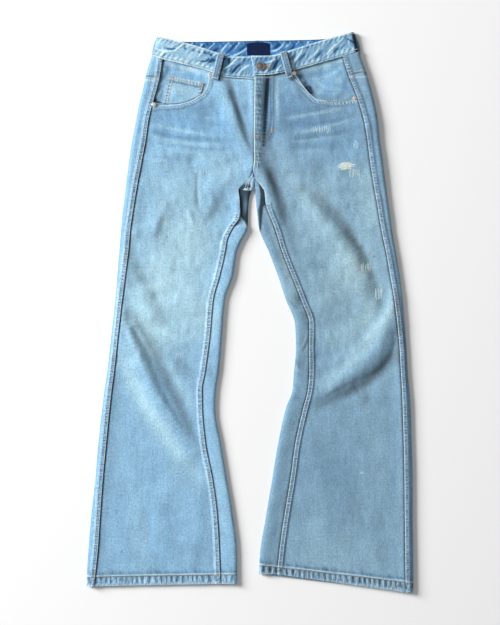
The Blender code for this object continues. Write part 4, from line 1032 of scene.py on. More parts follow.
# The band's colours from darkest to lightest, between which its creases' painted light and shade pick, at
# places along the front, and inside the back, where the darker blues are partly the cloth's inner face and
# partly painted shade inside the waist
bandDyes = {
    "x": (-100, -70, 60, 95),
    "dark": ((0.04, 0.13, 0.3), (0.01, 0.045, 0.12), (0.008, 0.035, 0.09), (0.035, 0.115, 0.24)),
    "mid": ((0.34, 0.58, 0.75), (0.17, 0.37, 0.61), (0.13, 0.3, 0.51), (0.22, 0.415, 0.6)),
    "light": ((0.72, 0.9, 0.93), (0.6, 0.84, 0.92), (0.54, 0.79, 0.9), (0.54, 0.78, 0.89)),
    "inside": ((0.012, 0.065, 0.19), (0.08, 0.255, 0.54), (0.52, 0.75, 0.86)),
}
bandLines = {  # creases as ridges pale with wear and painted light and valleys painted as shade, which also raise and sink the band: ax, ay, bx, by, cx, cy, half width, amount
    "front": [
        (-188, 527, -168, 521, -148, 524, 1.6, 0.45), (-148, 524, -140, 530, -132, 535, 1.6, 0.45),
        (-170, 528, -159, 525.5, -150, 526, 2.6, -0.55), (-104, 509, -98, 516, -92, 522, 1.6, 0.4),
        (-100, 502, -90, 501, -82, 507, 2.4, -0.5), (-84, 502, -77, 503, -71, 504, 4.0, -0.55),
        (-130, 528, -129, 527, -127, 526, 2.6, -0.45), (-115, 524, -113, 523, -111, 522, 2.6, -0.45),
        (-103, 520, -101, 519.4, -99, 518.8, 2.6, -0.45), (-91, 519, -89, 518.4, -87, 517.6, 2.6, -0.45),
        (-80, 516, -78, 514, -76, 511, 3.0, -0.5), (-28, 507, -38, 495, -53, 485.5, 1.8, 0.5),
        (-48, 509, -42, 503, -44, 494, 4.5, -0.4), (-1, 494, -13, 486, -27, 475, 1.7, 0.5),
        (-18, 496, -26, 489, -34, 480, 2.8, -0.45), (51, 506, 44, 501, 30, 498, 1.7, 0.45),
        (63, 493, 56, 484.5, 52, 477, 1.7, 0.45), (54, 506, 50, 491, 40, 481, 2.8, -0.5),
        (22, 507, 14, 502, 12, 492, 2.6, -0.28), (108, 527, 97, 511, 89, 501, 1.5, 0.45),
        (112, 516, 105, 510, 99, 504, 2.6, -0.35), (140, 530, 132, 517.5, 119, 504, 1.5, 0.45),
        (143, 521, 137, 514, 130, 507, 2.8, -0.42), (187, 547, 167, 529, 151, 511, 1.7, 0.55),
        (180, 529, 174, 525, 168, 520, 3.6, -0.4), (118, 531, 116, 530, 113, 529.4, 2.6, -0.4),
        (127, 534.6, 125, 533.8, 123, 533, 2.4, -0.4), (177, 539, 175, 538, 173, 536.6, 2.6, -0.35),
        (194, 546, 202, 542, 210, 537, 2.0, -0.55), (200, 551, 198, 540, 200, 530, 1.6, 0.3),
        (72, 500, 70, 492, 73, 484, 2.4, 0.3), (86, 506, 90, 512, 92, 518, 2.2, -0.4),
    ],
    "inside": [
        (-114, 541, -116, 538, -119, 534, 1.5, 0.35), (-93, 539, -96, 535, -99, 531, 1.5, 0.35),
        (-70, 540, -76, 533, -84, 526, 1.6, 0.42), (-42, 540, -50, 531, -58, 521, 1.6, 0.42),
        (-20, 541, -24, 535, -30, 527, 1.5, 0.35), (-7, 528, -22, 517.5, -42, 511, 1.8, 0.5),
        (68, 540, 59, 527.5, 42, 522, 1.8, 0.45), (99, 543, 95, 538, 89, 532, 1.5, 0.4),
        (82, 541, 76, 534, 72, 530, 1.5, 0.35), (121, 544, 117, 540, 113, 536, 1.5, 0.35),
        (-62, 530, -66, 526, -74, 521, 3.0, -0.4), (-30, 536, -36, 528, -46, 519, 3.0, -0.38),
        (-4, 536, -12, 530, -20, 524, 3.0, -0.3), (60, 536, 52, 530, 46, 527, 3.2, -0.4),
        (92, 538, 86, 530, 78, 527, 3.0, -0.35), (-90, 532, -96, 528, -104, 525, 3.0, -0.35),
    ],
}
puckers = np.random.default_rng(31)
# Small creases at random, which lean the same way: each a pale ridge with a valley of painted shade just to
# its right, away from the window light
for where, span in (("front", (-180, 205)), ("inside", (-120, 125))):
    for cx in np.arange(*span, 10.5):
        cx, cy = cx + puckers.uniform(-4, 4), puckers.uniform(0.12, 0.85)
        table = "back" if where == "inside" else "left" if cx < 4 else "right"
        cy = lerp(waistSeam[table](cx), waistTop[table](cx), cy)
        dx, dy, size = puckers.uniform(2, 6), puckers.uniform(2.5, 6), puckers.uniform(0.1, 0.26)
        middleY = cy + puckers.uniform(-1, 1)
        bandLines[where] += [
            (cx + dx, cy + dy, cx, middleY, cx - dx, cy - dy, 1.5, size),
            (cx + dx + 3, cy + dy - 1, cx + 3.4, cy - 1, cx - dx + 3, cy - dy - 1, 2.2, -0.8 * size),
        ]


def creaseTone(x, y, lines):  # how far each place lies on a crease's ridge, above 0, or in its valley, below 0, for the painted light and shade and for the relief
    total = np.zeros(np.shape(x))
    for *line, wide, amount in lines:
        far, way = nearLine(line, x, y, 3 * wide)
        fade = np.sin(np.pi * np.clip(0.1 + 0.8 * way, 0, 1)) ** 0.6
        total = total + 1.45 * amount * fade * bell(far, 0.9 * wide)
    return total


def toned(dyes, tone):  # from the darkest colour at 0 through the middle one at 0.5 to the lightest at 1
    tone = np.clip(tone, 0, 1)[..., None]
    dark, mid, light = dyes
    return np.where(tone < 0.5, lerp(dark, mid, 2 * tone), lerp(mid, light, 2 * tone - 1))


def bandGrid():
    parts = []  # x at the top edge, x at the seam, which table, angle of the roll or None
    rightIn = [x - band["rollWidth"] for x in bandSide["right"]]
    leftIn = [x + band["rollWidth"] for x in bandSide["left"]]
    for s in np.linspace(0, 1, 206):
        xTop, xSeam = lerp(band["overlap"], rightIn[0], s), lerp(band["overlap"] + 6.5, rightIn[1], s)
        parts.append((xTop, xSeam, "right", None))
    for angle in np.linspace(90, -90, 15)[1:-1]:
        parts.append((None, None, "right", angle))
    for s in np.linspace(0, 1, 380):
        parts.append((lerp(rightIn[0], leftIn[0], s), lerp(rightIn[1], leftIn[1], s), "back", None))
    for angle in np.linspace(-90, 90, 15)[1:-1]:
        parts.append((None, None, "left", angle))
    for s in np.linspace(0, 1, 206):
        xTop, xSeam = (lerp(x, band["underlapFrom"], s) for x in leftIn)
        parts.append((xTop, xSeam, "left", None))
    for x in np.linspace(band["underlapFrom"], band["underlapTo"], 14)[1:]:
        parts.append((x, x, "left", None))
    rows = []
    for xTop, xSeam, table, angle in parts:
        if angle is None:
            z = waistHeight[table]((xTop + xSeam) / 2)
            low = table
        else:
            height = waistHeight[table](bandSide[table][0])
            centre = band["base"] + 0.45 * (height - band["base"])
            turned = math.radians(angle)
            inward = -outward[table] * band["rollWidth"] * (1 - math.cos(turned))
            xTop, xSeam = (x + inward for x in bandSide[table])
            z = centre + (height - centre if angle > 0 else centre - band["base"]) * math.sin(turned)
            low = table if angle > 0 else "back"
        top = np.array([xTop, waistTop[low](xTop), z])
        seam = np.array([xSeam, waistSeam[low](xSeam) + cut["waistGap"] / 2, z])
        rows.append([lerp(top, seam, s) for s in bandShares])
    return np.array(rows, float)


bandShares = np.concatenate([[0, 0.02, 0.045, 0.09], np.linspace(0.13, 0.87, 27), [0.91, 0.955, 0.98, 1]])
midBand = len(bandShares) // 2
grid = bandGrid()
length = np.concatenate([[0], np.cumsum(np.linalg.norm(np.diff(grid[:, midBand], axis=0), axis=1))])
depth = np.linalg.norm(grid[:, 0] - grid[:, -1], axis=1)
down = depth[:, None] * bandShares
along = np.broadcast_to(length[:, None], down.shape)
fromTop, fromSeam = down, depth[:, None] - down
normal = gridNormals(grid)
x, y = grid[..., 0], grid[..., 1]
roping = 2 * np.pi * (along + 0.6 * fromTop) / bandLook["ropeEvery"] + 1.3 * np.sin(along / 17)
ropingBelow = 2 * np.pi * (along - 0.5 * fromSeam) / (1.1 * bandLook["ropeEvery"]) + 1.1 * np.sin(along / 13)
ropes = np.sin(roping) * bell(fromTop - 5, 4.5) + np.sin(ropingBelow) * bell(fromSeam - 8, 4.5)
onFront = grid[:, midBand, 2][:, None] > 5
drawn = np.where(onFront, creaseTone(x, y, bandLines["front"]), 0.5 * creaseTone(-x, y, bandLines["front"]))
drawnInside = creaseTone(x, y, bandLines["inside"])
cloudy = 0.09 * np.sin(along / 9 + 2 * np.sin(fromTop / 9 + along / 31))
cloudy = cloudy + 0.07 * np.sin(along / 4.3 + fromTop / 5 + 3)
# Painted highlights on the band's rolled top and lower edges, painted shade in the groove above the lower
# edge and a faint pale line above that
seamLines = 0.42 * bell(fromTop - 0.6, 1.5) + 0.5 * bell(fromSeam - 0.6, 1.4)
seamLines = seamLines - 0.34 * bell(fromSeam - 3.0, 0.9) + 0.16 * bell(fromSeam - 6.5, 2.5)
tone = 0.5 + drawn + 0.2 * ropes + cloudy + seamLines
# The inside's top edge is painted dark as shadow
insideTone = 0.46 + drawnInside + 0.14 * ropes + cloudy - 0.6 * bell(fromTop, 1.5)
insideTone = insideTone - 0.16 * bell(fromTop - 6, 4)
pillow = -0.9 * bell(fromTop, 1.3) - 0.5 * bell(fromSeam, 1.1)
rows = -0.22 * bell(fromTop - 3.2, 0.8) - 0.25 * bell(fromSeam - 3.0, 0.9)
relief = bandLook["relief"] * drawn + bandLook["ropes"] * ropes + pillow + rows
dyes = []
for level in ("dark", "mid", "light"):
    channels = zip(*bandDyes[level])
    dyes.append(np.stack([np.interp(x, bandDyes["x"], values) for values in channels], -1))
leftEdge, rightEdge = (lerp(*bandSide[side], bandShares) for side in sides)
# A pale line at the overlap's end, partly wear and partly a painted highlight facing the window light;
# painted shade on both ends of the band, darkest on the right end turned from the light; and the painted
# shadow beside the front belt loops
colour = blend(toned(dyes, tone),
    ("worn", 0.85 * bell(along, 2.0)),
    ("dark", 0.75 * bell(x - leftEdge, 2.6)),
    ("deep", 0.97 * ease(x - rightEdge, -9, -4) + 1.3 * onFront * besideLoops(x, y)))
innerColour = toned([np.array(dye) for dye in bandDyes["inside"]], insideTone)
sewn = np.stack([0 * down, 0.5 * bell(fromTop, 6) + 0.5 * bell(fromSeam, 6), 0 * down], -1)
grid = grid + normal * relief[..., None]
inRelief = -bandLook["relief"] * drawnInside - 0.8 * pillow - bandLook["ropes"] * ropes
piece = sheetOf(
    "waistBand", grid, np.stack([along, -down], -1), cut["bandWall"], colour, sewn,
    insideDye=innerColour, insideRelief=inRelief)
dress(piece, "waistband")
print("waistband", len(piece.data.polygons))


def faceHeight(side, x, y):
    # Whatever faces up on the front: the waistband, a felled seam or a panel
    x, y = np.asarray(x, float), np.asarray(y, float)
    fromOutseam = beyond(side, "outseam", x, y)
    fromSeam = beyond(side, "seam", x, y)
    feltOut = (fromOutseam > 0) * (1 - ease(fromOutseam, 10, 12))
    feltIn = (fromSeam > 0) * (1 - ease(fromSeam, 10.4, 12)) * (1 - ease(y, *seamShows[side]))
    panel = frontHeight(side, x, y) + cut["feltRaise"] * (feltOut + feltIn)
    return np.where(y > waistSeam[side](x) + 0.1, waistHeight[side](x) + 0.1, panel)


# Pocket facings and the coin pocket
for side in sides:
    topY = outseamTop[side] - cut["waistGap"] / 2
    share = np.linspace(0, 1, 46)
    startY = lerp(topY, scoop[side][0][1] - 7, share)
    start = pair(edge[side]["outseam"](startY) - halfGap[side], startY)
    end = scoopAt(side, lerp(1.0, 0.15, share), 9.0)
    end[0, 1] = waistSeam[side](end[0, 0]) - cut["waistGap"] / 2
    points = start[:, None] + (end - start)[:, None] * np.linspace(0, 1, 52)[:, None]
    x = points[..., 0]
    y = bentRows(x, points[..., 1], waistSeam[side], np.clip(1 - share * 7 / 3, 0, 1))
    z = topHeight(side, x, y) - 1.7
    dye = blend(dyeAt(side, x, y, front=False), ("indigo", (0.42 if side == "right" else 0.3) + 0 * x))
    cloudy = np.sin(x / 7 + 1.7 * np.sin(y / 8)) * np.sin(y / 6 + 1.3 * np.sin(x / 11))
    dye = blend(dye,
        ("fadedAndLit", 0.08 + 0.24 * np.maximum(cloudy, 0)),
        ("dark", 0.1 * np.maximum(-cloudy, 0)),
        ("fadedAndLit", 0.34 * bell(waistSeam[side](x) - y - 7, 4)))
    opening = scoopAt(side, np.linspace(0, 1, 60))
    fromEdge = awayFrom(opening, x, y)
    # Painted shadow along the opening's edge, stronger on the right where it gapes
    gapeShadow = ease(y, 410, 440) if side == "right" else 0.35
    dye = blend(dye, ("shade", 0.62 * gapeShadow * bell(fromEdge, 9 if side == "right" else 3)))
    if side == "right":  # painted shadow where the opening stands away from the facing, and on the left at the outseam under the band and at the opening's ends
        spots = ((101, 471, 5.5, 0.9), (116, 446, 7.0, 2.4), (122, 439, 5.0, 1.2), (110, 458, 4.0, 0.9))
    else:
        spots = ((-174.5, 503, 3.6, 1.6), (-176.5, 495, 2.6, 1.2), (-192, 424, 4.6, 1.5), (-91, 440, 3, 0.8))
    for cx, cy, wide, amount in spots:
        dye = blend(dye, ("deep", amount * np.exp(-(((x - cx) ** 2 + (y - cy) ** 2) / wide**2))))
    # On the left: painted shadow along the gap beside the outseam, with darker and paler streaks on the
    # facing
    if side == "left":
        for *line, wide, towards, amount in (
            (-190, 422, -183, 420, -176, 418.4, 2.2, "deep", 1.2),
            (-188, 431, -178, 441, -168, 454, 1.8, "worn", 0.55),
            (-190, 437, -182, 446, -173, 458, 3.0, "dark", 0.55),
            (-176, 488, -178, 470, -184, 450, 3.0, "dark", 0.3),
            (-134, 491, -120, 486, -108, 481, 4.5, "worn", 0.55),
            (-128, 476, -108, 470, -88, 466, 6.0, "indigo", 0.55),
            (-170, 494, -166, 484, -172, 470, 3.4, "dark", 0.6),
            (-178, 474, -176, 466, -180, 458, 2.2, "deep", 0.7),
            (-172, 456, -176, 440, -180, 428, 2.0, "dark", 0.8),
        ):
            far, way = nearLine(line, x, y, 3 * wide)
            dye = blend(dye,
                (towards, amount * np.sin(np.pi * np.clip(0.1 + 0.8 * way, 0, 1)) * bell(far, wide)))
    fold = bell(x + 0.5 * y - (64 if side == "left" else 342), 3)
    dye = blend(dye, ("dark", 0.3 * fold))
    piece = sheetOf(
        f"pocketFacing_{side}", np.stack([x, y, z], -1), pair(x, y), cut["denim"], dye,
        0.3 * sewnAt(side, x, y), turn=outward[side])
    dress(piece, f"pocket_facing_{side}")

coinPocket = {
    "left": (-161.4, 472.2), "right": (-92.4, 458.0), "baseLeft": -174.0, "baseRight": -97.0,
    "clear": 2.8, "hem": 6.6, "wide": 70,
}
scoopY = smoothCurve(scoop["left"][:7])
down, across = np.meshgrid(np.linspace(0, 1, 34), np.linspace(0, 1, 44), indexing="ij")
xTop, yTop = (lerp(coinPocket["left"][i], coinPocket["right"][i], across) for i in (0, 1))
xBase = lerp(coinPocket["baseLeft"], coinPocket["baseRight"], across)
yBase = scoopY(xBase) + coinPocket["clear"]
x, y = lerp(xTop, xBase, down), lerp(yTop, yBase, down)
fromTop = down * (yTop - yBase)
fromSide = np.minimum(across, 1 - across) * coinPocket["wide"]
fromRight = (1 - across) * coinPocket["wide"]
hemmed = 0.5 * (1 - ease(fromTop, coinPocket["hem"] - 0.8, coinPocket["hem"] + 0.8))
z = topHeight("left", x, y) - 0.35 + hemmed + 0.25 * pucker(x, fromTop - 2, 6.5, 5, 2)
z = z - 0.5 * bell(fromSide, 1.2) - 0.4 * bell(fromTop, 1.0)
dye = blend(dyeAt("left", x, y, front=False), ("fadedAndLit", 0.3 * bell(fromTop - 22, 14)))
pinch = dots(x, 3) * bell(fromTop - 3.5, 3) + dots(y, 4) * bell(fromSide - 4.6, 2.6)
# Painted shadow along the pocket's sides and in the line below its hem, with pale worn beads and top edge
dye = blend(dye,
    ("dark", 0.4 * bell(fromTop - 3.5, 3) + 0.3 * bell(fromSide - 4.6, 2.6)),
    ("worn", 0.8 * np.clip(pinch, 0, 1) + 0.6 * bell(fromTop, 1.3)),
    ("dark", 0.95 * np.clip(-pinch, 0, 1) + 0.75 * bell(fromTop - 9.4, 1.8)),
    ("deep", 0.72 * bell(fromSide, 1.8) + 0.7 * bell(fromRight, 2.0)))
sewn = np.stack([bell(fromSide, 5), bell(fromTop, 7), 0.4 * bell(fromTop, 7) + 0.3 * bell(fromSide, 4)], -1)
piece = sheetOf("coinPocket", np.stack([x, y, z], -1), pair(x, y), 1.0, dye, sewn, turn=-1)
dress(piece, "coin_pocket")
print("pocket facings and coin pocket")

# Belt loops: straps from a to b, over the front waistband or under the rest of it
strap = {"width": 13.0, "thick": 1.6, "lowThick": 1.4, "rest": 0.35, "arch": 2.0}
for name, (ax, ay, bx, by, bow, on) in beltLoops.items():
    down = np.linspace(0, 1, 40)
    way = unit(np.array([ax, ay]), np.array([bx, by]))
    sideways = np.array([-way[1], way[0]])
    middle = np.column_stack([lerp(ax, bx, down) + bow * np.sin(np.pi * down), lerp(ay, by, down)])
    steps = [-1, -0.97, -0.88, -0.7, -0.5, -0.25, 0, 0.25, 0.5, 0.7, 0.88, 0.97, 1]
    offset = strap["width"] / 2 * np.array(steps)
    points = middle[:, None] + offset[:, None] * sideways
    x, y = points[..., 0], points[..., 1]
    if on:
        around = [faceHeight(on, x + dx, y + dy) for dx in (-7, 0, 7) for dy in (-7, 0, 7)]
        under = np.max(around, axis=(0, 2))[:, None]
        base = under + strap["rest"] + strap["arch"] * np.sin(np.pi * down)[:, None]
        kernel = np.ones(7) / 7
        base = np.convolve(np.pad(base[:, 0], 3, mode="edge"), kernel, mode="valid")[:, None]
        z = base + strap["thick"]
    else:
        z = np.full(x.shape, strap["lowThick"])
    edgeDrop = 0.5 * bell(strap["width"] / 2 - np.abs(offset), 0.7)
    seams = 0.22 * bell(np.abs(offset) - 4.0, 0.6) - 0.3 * bell(offset, 1.6)
    gathers = 0.12 * np.sin(down[:, None] * 40 + 0.6 * np.abs(offset)) * bell(np.abs(offset) - 5, 2)
    z = z - edgeDrop - seams + gathers
    toneSide = on or ("left" if ax < 0 else "right")
    dye = blend(plainDye(toneSide, x),
        ("fadedAndLit", 0.25),
        ("indigo", 0.6),
        ("dark", 0.34 * bell(np.abs(offset) - 3.0, 0.9) + 0.12 * np.sin(down[:, None] * 21 + offset)),
        ("worn", 0.62 * ease(np.abs(offset), 4.6, 5.6) + 0.16 * bell(offset, 1.6) + 0 * x))
    sewn = np.stack([np.ones(x.shape) * 0.5, 0 * x, 0.35 * bell(np.abs(offset) - 5.8, 0.8) + 0 * x], -1)
    flatWays = np.stack([np.broadcast_to(offset, x.shape), np.broadcast_to(-down[:, None] * 54, x.shape)], -1)
    wall = strap["thick"] - 0.3 if on else 1.0
    piece = sheetOf(f"beltLoop_{name}", np.stack([x, y, z], -1), flatWays, wall, dye, sewn, turn=1)
    fit(piece, denim, f"belt_loop_{name}")
print("belt loops")


# Metal pieces, label and back pockets
def pickFaces(piece, test):  # in edit mode, selects the faces whose middle and normal pass
    bpy.ops.mesh.select_all(action="DESELECT")
    bpy.ops.object.mode_set(mode="OBJECT")
    for face in piece.data.polygons:
        face.select = bool(test(face.center, face.normal))
    bpy.ops.object.mode_set(mode="EDIT")
    bpy.ops.mesh.select_mode(type="FACE")


def roundBlank(name, place, radius, thick, corners):
    bpy.ops.object.select_all(action="DESELECT")
    bpy.ops.mesh.primitive_cylinder_add(
        vertices=corners, radius=radius * mm, depth=thick * mm, location=[v * mm for v in place])
    piece = bpy.context.active_object
    piece.name = name
    bpy.ops.object.transform_apply(location=True, rotation=True, scale=True)
    bpy.ops.object.mode_set(mode="EDIT")
    return piece


def stepIn(inset, rise):  # narrows the picked face, then raises or sinks it
    bpy.ops.mesh.inset(thickness=inset * mm)
    if rise:
        bpy.ops.mesh.extrude_region_move(TRANSFORM_OT_translate={"value": (0, 0, rise * mm)})


def softenEdges(piece, width, angle):  # bevels its edges and shades it smooth
    bevel = piece.modifiers.new("edges", "BEVEL")
    bevel.width = width * mm
    bevel.segments = 2
    bpy.ops.object.modifier_apply(modifier="edges")
    bpy.ops.object.shade_smooth_by_angle(angle=math.radians(angle))


def metal(name, colour, other, roughness, scale):  # a worn metal, blotched with another colour
    material, tree, shader = newMaterial(name, roughness, 1.0)
    place = tree.nodes.new("ShaderNodeTexCoord")
    blotch = noiseOf(tree, place.outputs["Object"], (scale, scale, scale), 4, 0.6)
    mixed(tree, shader, blotch, colour, other)
    bumped(tree, shader, blotch, 0.0001, 0.4)
    return material


agedBrass = metal("agedBrass", (0.18, 0.155, 0.145), (0.29, 0.25, 0.235), 0.5, 900)
rimBrass = metal("rimBrass", (0.34, 0.28, 0.22), (0.56, 0.48, 0.4), 0.38, 700)
copper = metal("wornCopper", (0.8, 0.62, 0.52), (0.94, 0.88, 0.82), 0.4, 1100)
paleCopper = metal("paleCopper", (0.86, 0.8, 0.75), (0.96, 0.94, 0.92), 0.42, 1100)

tack = {
    "x": 20.8, "y": 490.4, "base": 11.3, "radius": 8.4, "cap": 1.4, "neck": 4.4, "neckHigh": 0.8,
    "corners": 56,
    "steps": ((0.35, 0.28), (0.75, 0), (0.35, -0.42), (0.9, 0.16), (1.6, 0.12), (1.8, 0.06)),  # in, up
}
capMiddle = (tack["x"], tack["y"], tack["base"] + tack["neckHigh"] + tack["cap"] / 2)
button = roundBlank("button_", capMiddle, tack["radius"], tack["cap"], tack["corners"])
pickFaces(button, lambda middle, normal: normal.z < -0.9)
stepIn(tack["radius"] - tack["neck"], 0)
bpy.ops.mesh.extrude_region_move(TRANSFORM_OT_translate={"value": (0, 0, -tack["neckHigh"] * mm)})
pickFaces(button, lambda middle, normal: normal.z > 0.9)
for inset, rise in tack["steps"]:
    stepIn(inset, rise)
button.data.materials.append(agedBrass)
button.data.materials.append(rimBrass)
bpy.ops.object.mode_set(mode="OBJECT")
for face in button.data.polygons:
    away = math.hypot(face.center.x / mm - tack["x"], face.center.y / mm - tack["y"])
    face.material_index = int(away > tack["radius"] - 1.35 and face.center.z > (tack["base"] + 0.9) * mm)
softenEdges(button, 0.16, 40)
fit(button, node="button")

rivetLook = {
    "radius": 4.1, "thick": 0.6, "corners": 32,
    "steps": ((0.5, 0.3), (0.5, 0.1), (0.9, -0.18), (0.5, 0.42), (0.4, 0.14)),  # in, up
}
for number in range(1, 5):
    low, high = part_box(f"rivet_{number}")
    middle = [(low[i] + high[i]) / 2 / mm for i in range(2)]
    base = low[2] / mm
    place = (*middle, base + rivetLook["thick"] / 2)
    rivet = roundBlank(
        f"rivetCap_{number}", place, rivetLook["radius"], rivetLook["thick"], rivetLook["corners"])
    pickFaces(rivet, lambda middle, normal: normal.z > 0.9)
    for inset, rise in rivetLook["steps"]:
        stepIn(inset, rise)
    bpy.ops.object.mode_set(mode="OBJECT")
    # The left outer one is worn palest
    rivet.data.materials.append(paleCopper if middle[0] < -150 else copper)
    softenEdges(rivet, 0.12, 50)
    fit(rivet, node=f"rivet_{number}")
print("button and rivets")

labelLook = {
    "x": 17.0, "y": 526.0, "wide": 46.0, "deep": 24.0, "base": 4.7, "thick": 0.6,
    "colour": (0.007, 0.018, 0.07), "threads": (0.0007, 0.0005),  # metres across and down
}


def wovenMaterial():
    material, tree, shader = newMaterial("navyWoven", 0.85)
    shader.inputs["Specular IOR Level"].default_value = 0.12
    parts = joined(tree, "ShaderNodeSeparateXYZ", clothPlace(tree))
    across, down = (
        mathOf(tree, "SINE", mathOf(tree, "MULTIPLY", place, 2 * math.pi / pitch))
        for place, pitch in zip(parts.outputs, labelLook["threads"]))
    threads = mathOf(tree, "MULTIPLY", across, down)
    level = mathOf(tree, "ADD", mathOf(tree, "MULTIPLY", threads, 0.25), 1.0)
    toned = joined(tree, "ShaderNodeVectorMath", labelLook["colour"], operation="SCALE")
    tree.links.new(level, toned.inputs["Scale"])
    tree.links.new(toned.outputs[0], shader.inputs["Base Color"])
    bumped(tree, shader, threads, 0.0001)
    return material


down, across = np.meshgrid(np.linspace(0, 1, 22), np.linspace(-1, 1, 40), indexing="ij")
x = labelLook["x"] + across * labelLook["wide"] / 2
y = labelLook["y"] + labelLook["deep"] * (0.5 - down) - 1.2 * (1 - down) + 3.4 * (1 - across**2) * (1 - down)
border = bell((1 - np.abs(across)) * 23, 0.8) + bell(down * 24, 0.8)
z = labelLook["base"] + labelLook["thick"] - 0.2 * border + 0.12 * np.sin(across * 5 + 2 * down) - 0.12
points = np.stack([x, y, z], -1)
plainColour = np.ones(points.shape)
piece = sheetOf("bareLabel", points, pair(x, y), 0.45, plainColour, 0 * points, turn=-1)
fit(piece, wovenMaterial(), "label")

down, across = np.meshgrid(np.linspace(0, 1, 60), np.linspace(-1, 1, 56), indexing="ij")
for side in sides:
    halfWidth = lerp(backPocket["halfWidth"], backPocket["halfBase"], down)
    x = backPocket["x"][side] + across * halfWidth
    y = lerp(backPocket["top"], lerp(backPocket["point"], backPocket["bottom"], np.abs(across)), down)
    fromSide = (1 - np.abs(across)) * backPocket["reach"]
    fromTop = down * backPocket["long"]
    fromBase = (1 - down) * backPocket["long"]
    rim = bell(fromSide, 1.2) + bell(fromTop, 1.2) + bell(fromBase, 1.2)
    sewnIn = bell(fromSide - 5, 5) + bell(fromBase - 5, 5)
    z = 0.35 * np.clip(rim, 0, 1) + 0.05 + 0.1 * sewnIn * (1 + np.sin(0.9 * y + 0.8 * x))
    dye = blend(plainDye(side, x),
        ("fadedAndLit", 0.45 * np.exp(-(((x - backPocket["x"][side]) / 50) ** 2) - ((y - 345) / 60) ** 2)),
        ("dark", 0.25 * bell(fromTop, 4)))
    sewn = np.stack([bell(fromSide, 6), bell(fromTop, 8), 0.4 * np.clip(rim, 0, 1)], -1)
    piece = sheetOf(f"backPocket_{side}_", np.stack([x, y, z], -1), pair(x, y), 1.0, dye, sewn, turn=1)
    dress(piece, f"back_pocket_{side}")
print("label and back pockets")

# Stitches: one is modelled, then copied along each row
thread = {"length": 3.1, "pitch": 3.5, "wide": 1.15, "high": 0.6, "rise": 0.16}
bpy.ops.object.select_all(action="DESELECT")
bpy.ops.mesh.primitive_uv_sphere_add(
    segments=6, ring_count=4, radius=1, location=(0, 0, 0), rotation=(0, math.pi / 2, 0))
oneStitch = bpy.context.active_object
bpy.ops.object.transform_apply(location=True, rotation=True, scale=True)
stitchPoints = np.array([v.co[:] for v in oneStitch.data.vertices])
stitchPoints[:, 0] = np.sign(stitchPoints[:, 0]) * np.abs(stitchPoints[:, 0]) ** 0.7
stitchFaces = [list(face.vertices) for face in oneStitch.data.polygons]
bpy.data.objects.remove(oneStitch)
wobble = np.random.default_rng(5)


def threadMaterial(name, colour, other):
    material, tree, shader = newMaterial(name, 0.65)
    shader.inputs["Sheen Weight"].default_value = 0.2
    place = tree.nodes.new("ShaderNodeTexCoord")
    patch = noiseOf(tree, place.outputs["Object"], (90, 90, 90), 3, 0.6)
    mixed(tree, shader, patch, colour, other)
    bumped(tree, shader, noiseOf(tree, place.outputs["Object"], (2600, 2600, 2600), 1), 0.0001)
    return material


creamThread = threadMaterial("creamThread", (0.52, 0.57, 0.55), (0.74, 0.8, 0.79))
tanThread = threadMaterial("tanThread", (0.12, 0.08, 0.055), (0.34, 0.2, 0.1))
dullThread = threadMaterial("dullThread", (0.2, 0.2, 0.21), (0.44, 0.4, 0.36))
orangeThread = threadMaterial("orangeThread", (0.62, 0.3, 0.1), (0.78, 0.45, 0.2))
nickThread = threadMaterial("nickThread", (0.56, 0.76, 0.82), (0.8, 0.9, 0.9))
whiteThread = threadMaterial("frayedThread", (0.76, 0.8, 0.7), (0.9, 0.93, 0.86))


def sew(name, runs, material, length=thread["length"], pitch=thread["pitch"], wide=thread["wide"], turn=0.0):
    # Rows of stitches along runs of points; turn lays each one across its row, as in a bar tack
    verts, faces = [], []
    for run in runs:
        run = np.asarray(run, float)
        far = np.concatenate([[0], np.cumsum(np.linalg.norm(np.diff(run, axis=0), axis=1))])
        count = max(1, int(round(far[-1] / pitch)))
        at = (np.arange(count) + 0.5) / count * far[-1]
        starts, middles, ends = (placesAlong(run, far, at + way * length / 2) for way in (-1, 0, 1))
        for place, start, end in zip(middles, starts, ends):
            along = end - start
            along = along / max(np.linalg.norm(along), 1e-6)
            swing = math.radians(turn + wobble.normal(0, 4))
            across = np.cross([0, 0, 1], along)
            across /= np.linalg.norm(across)
            cos, sin = math.cos(swing), math.sin(swing)
            along, across = along * cos + across * sin, across * cos - along * sin
            high = np.cross(along, across)
            size = np.array([length / 2, wide / 2, thread["high"] / 2]) * wobble.uniform(0.92, 1.06)
            local = stitchPoints * size
            offset = len(verts) * len(stitchPoints)
            verts.append(place + [0, 0, thread["rise"]] + local @ np.stack([along, across, high]))
            faces += [[corner + offset for corner in face] for face in stitchFaces]
    mesh = bpy.data.meshes.new(name)
    mesh.from_pydata((np.concatenate(verts) * mm).tolist(), [], faces)
    mesh.polygons.foreach_set("use_smooth", np.ones(len(faces), bool))
    piece = placed(name, mesh)
    bpy.ops.object.mode_set(mode="EDIT")
    bpy.ops.mesh.select_all(action="SELECT")
    bpy.ops.mesh.normals_make_consistent(inside=False)
    bpy.ops.object.mode_set(mode="OBJECT")
    fit(piece, material)
    print(name, len(verts), "stitches")


def over(side, x, y):  # a run on the front's upper face
    return np.column_stack([x, y, faceHeight(side, x, y)])


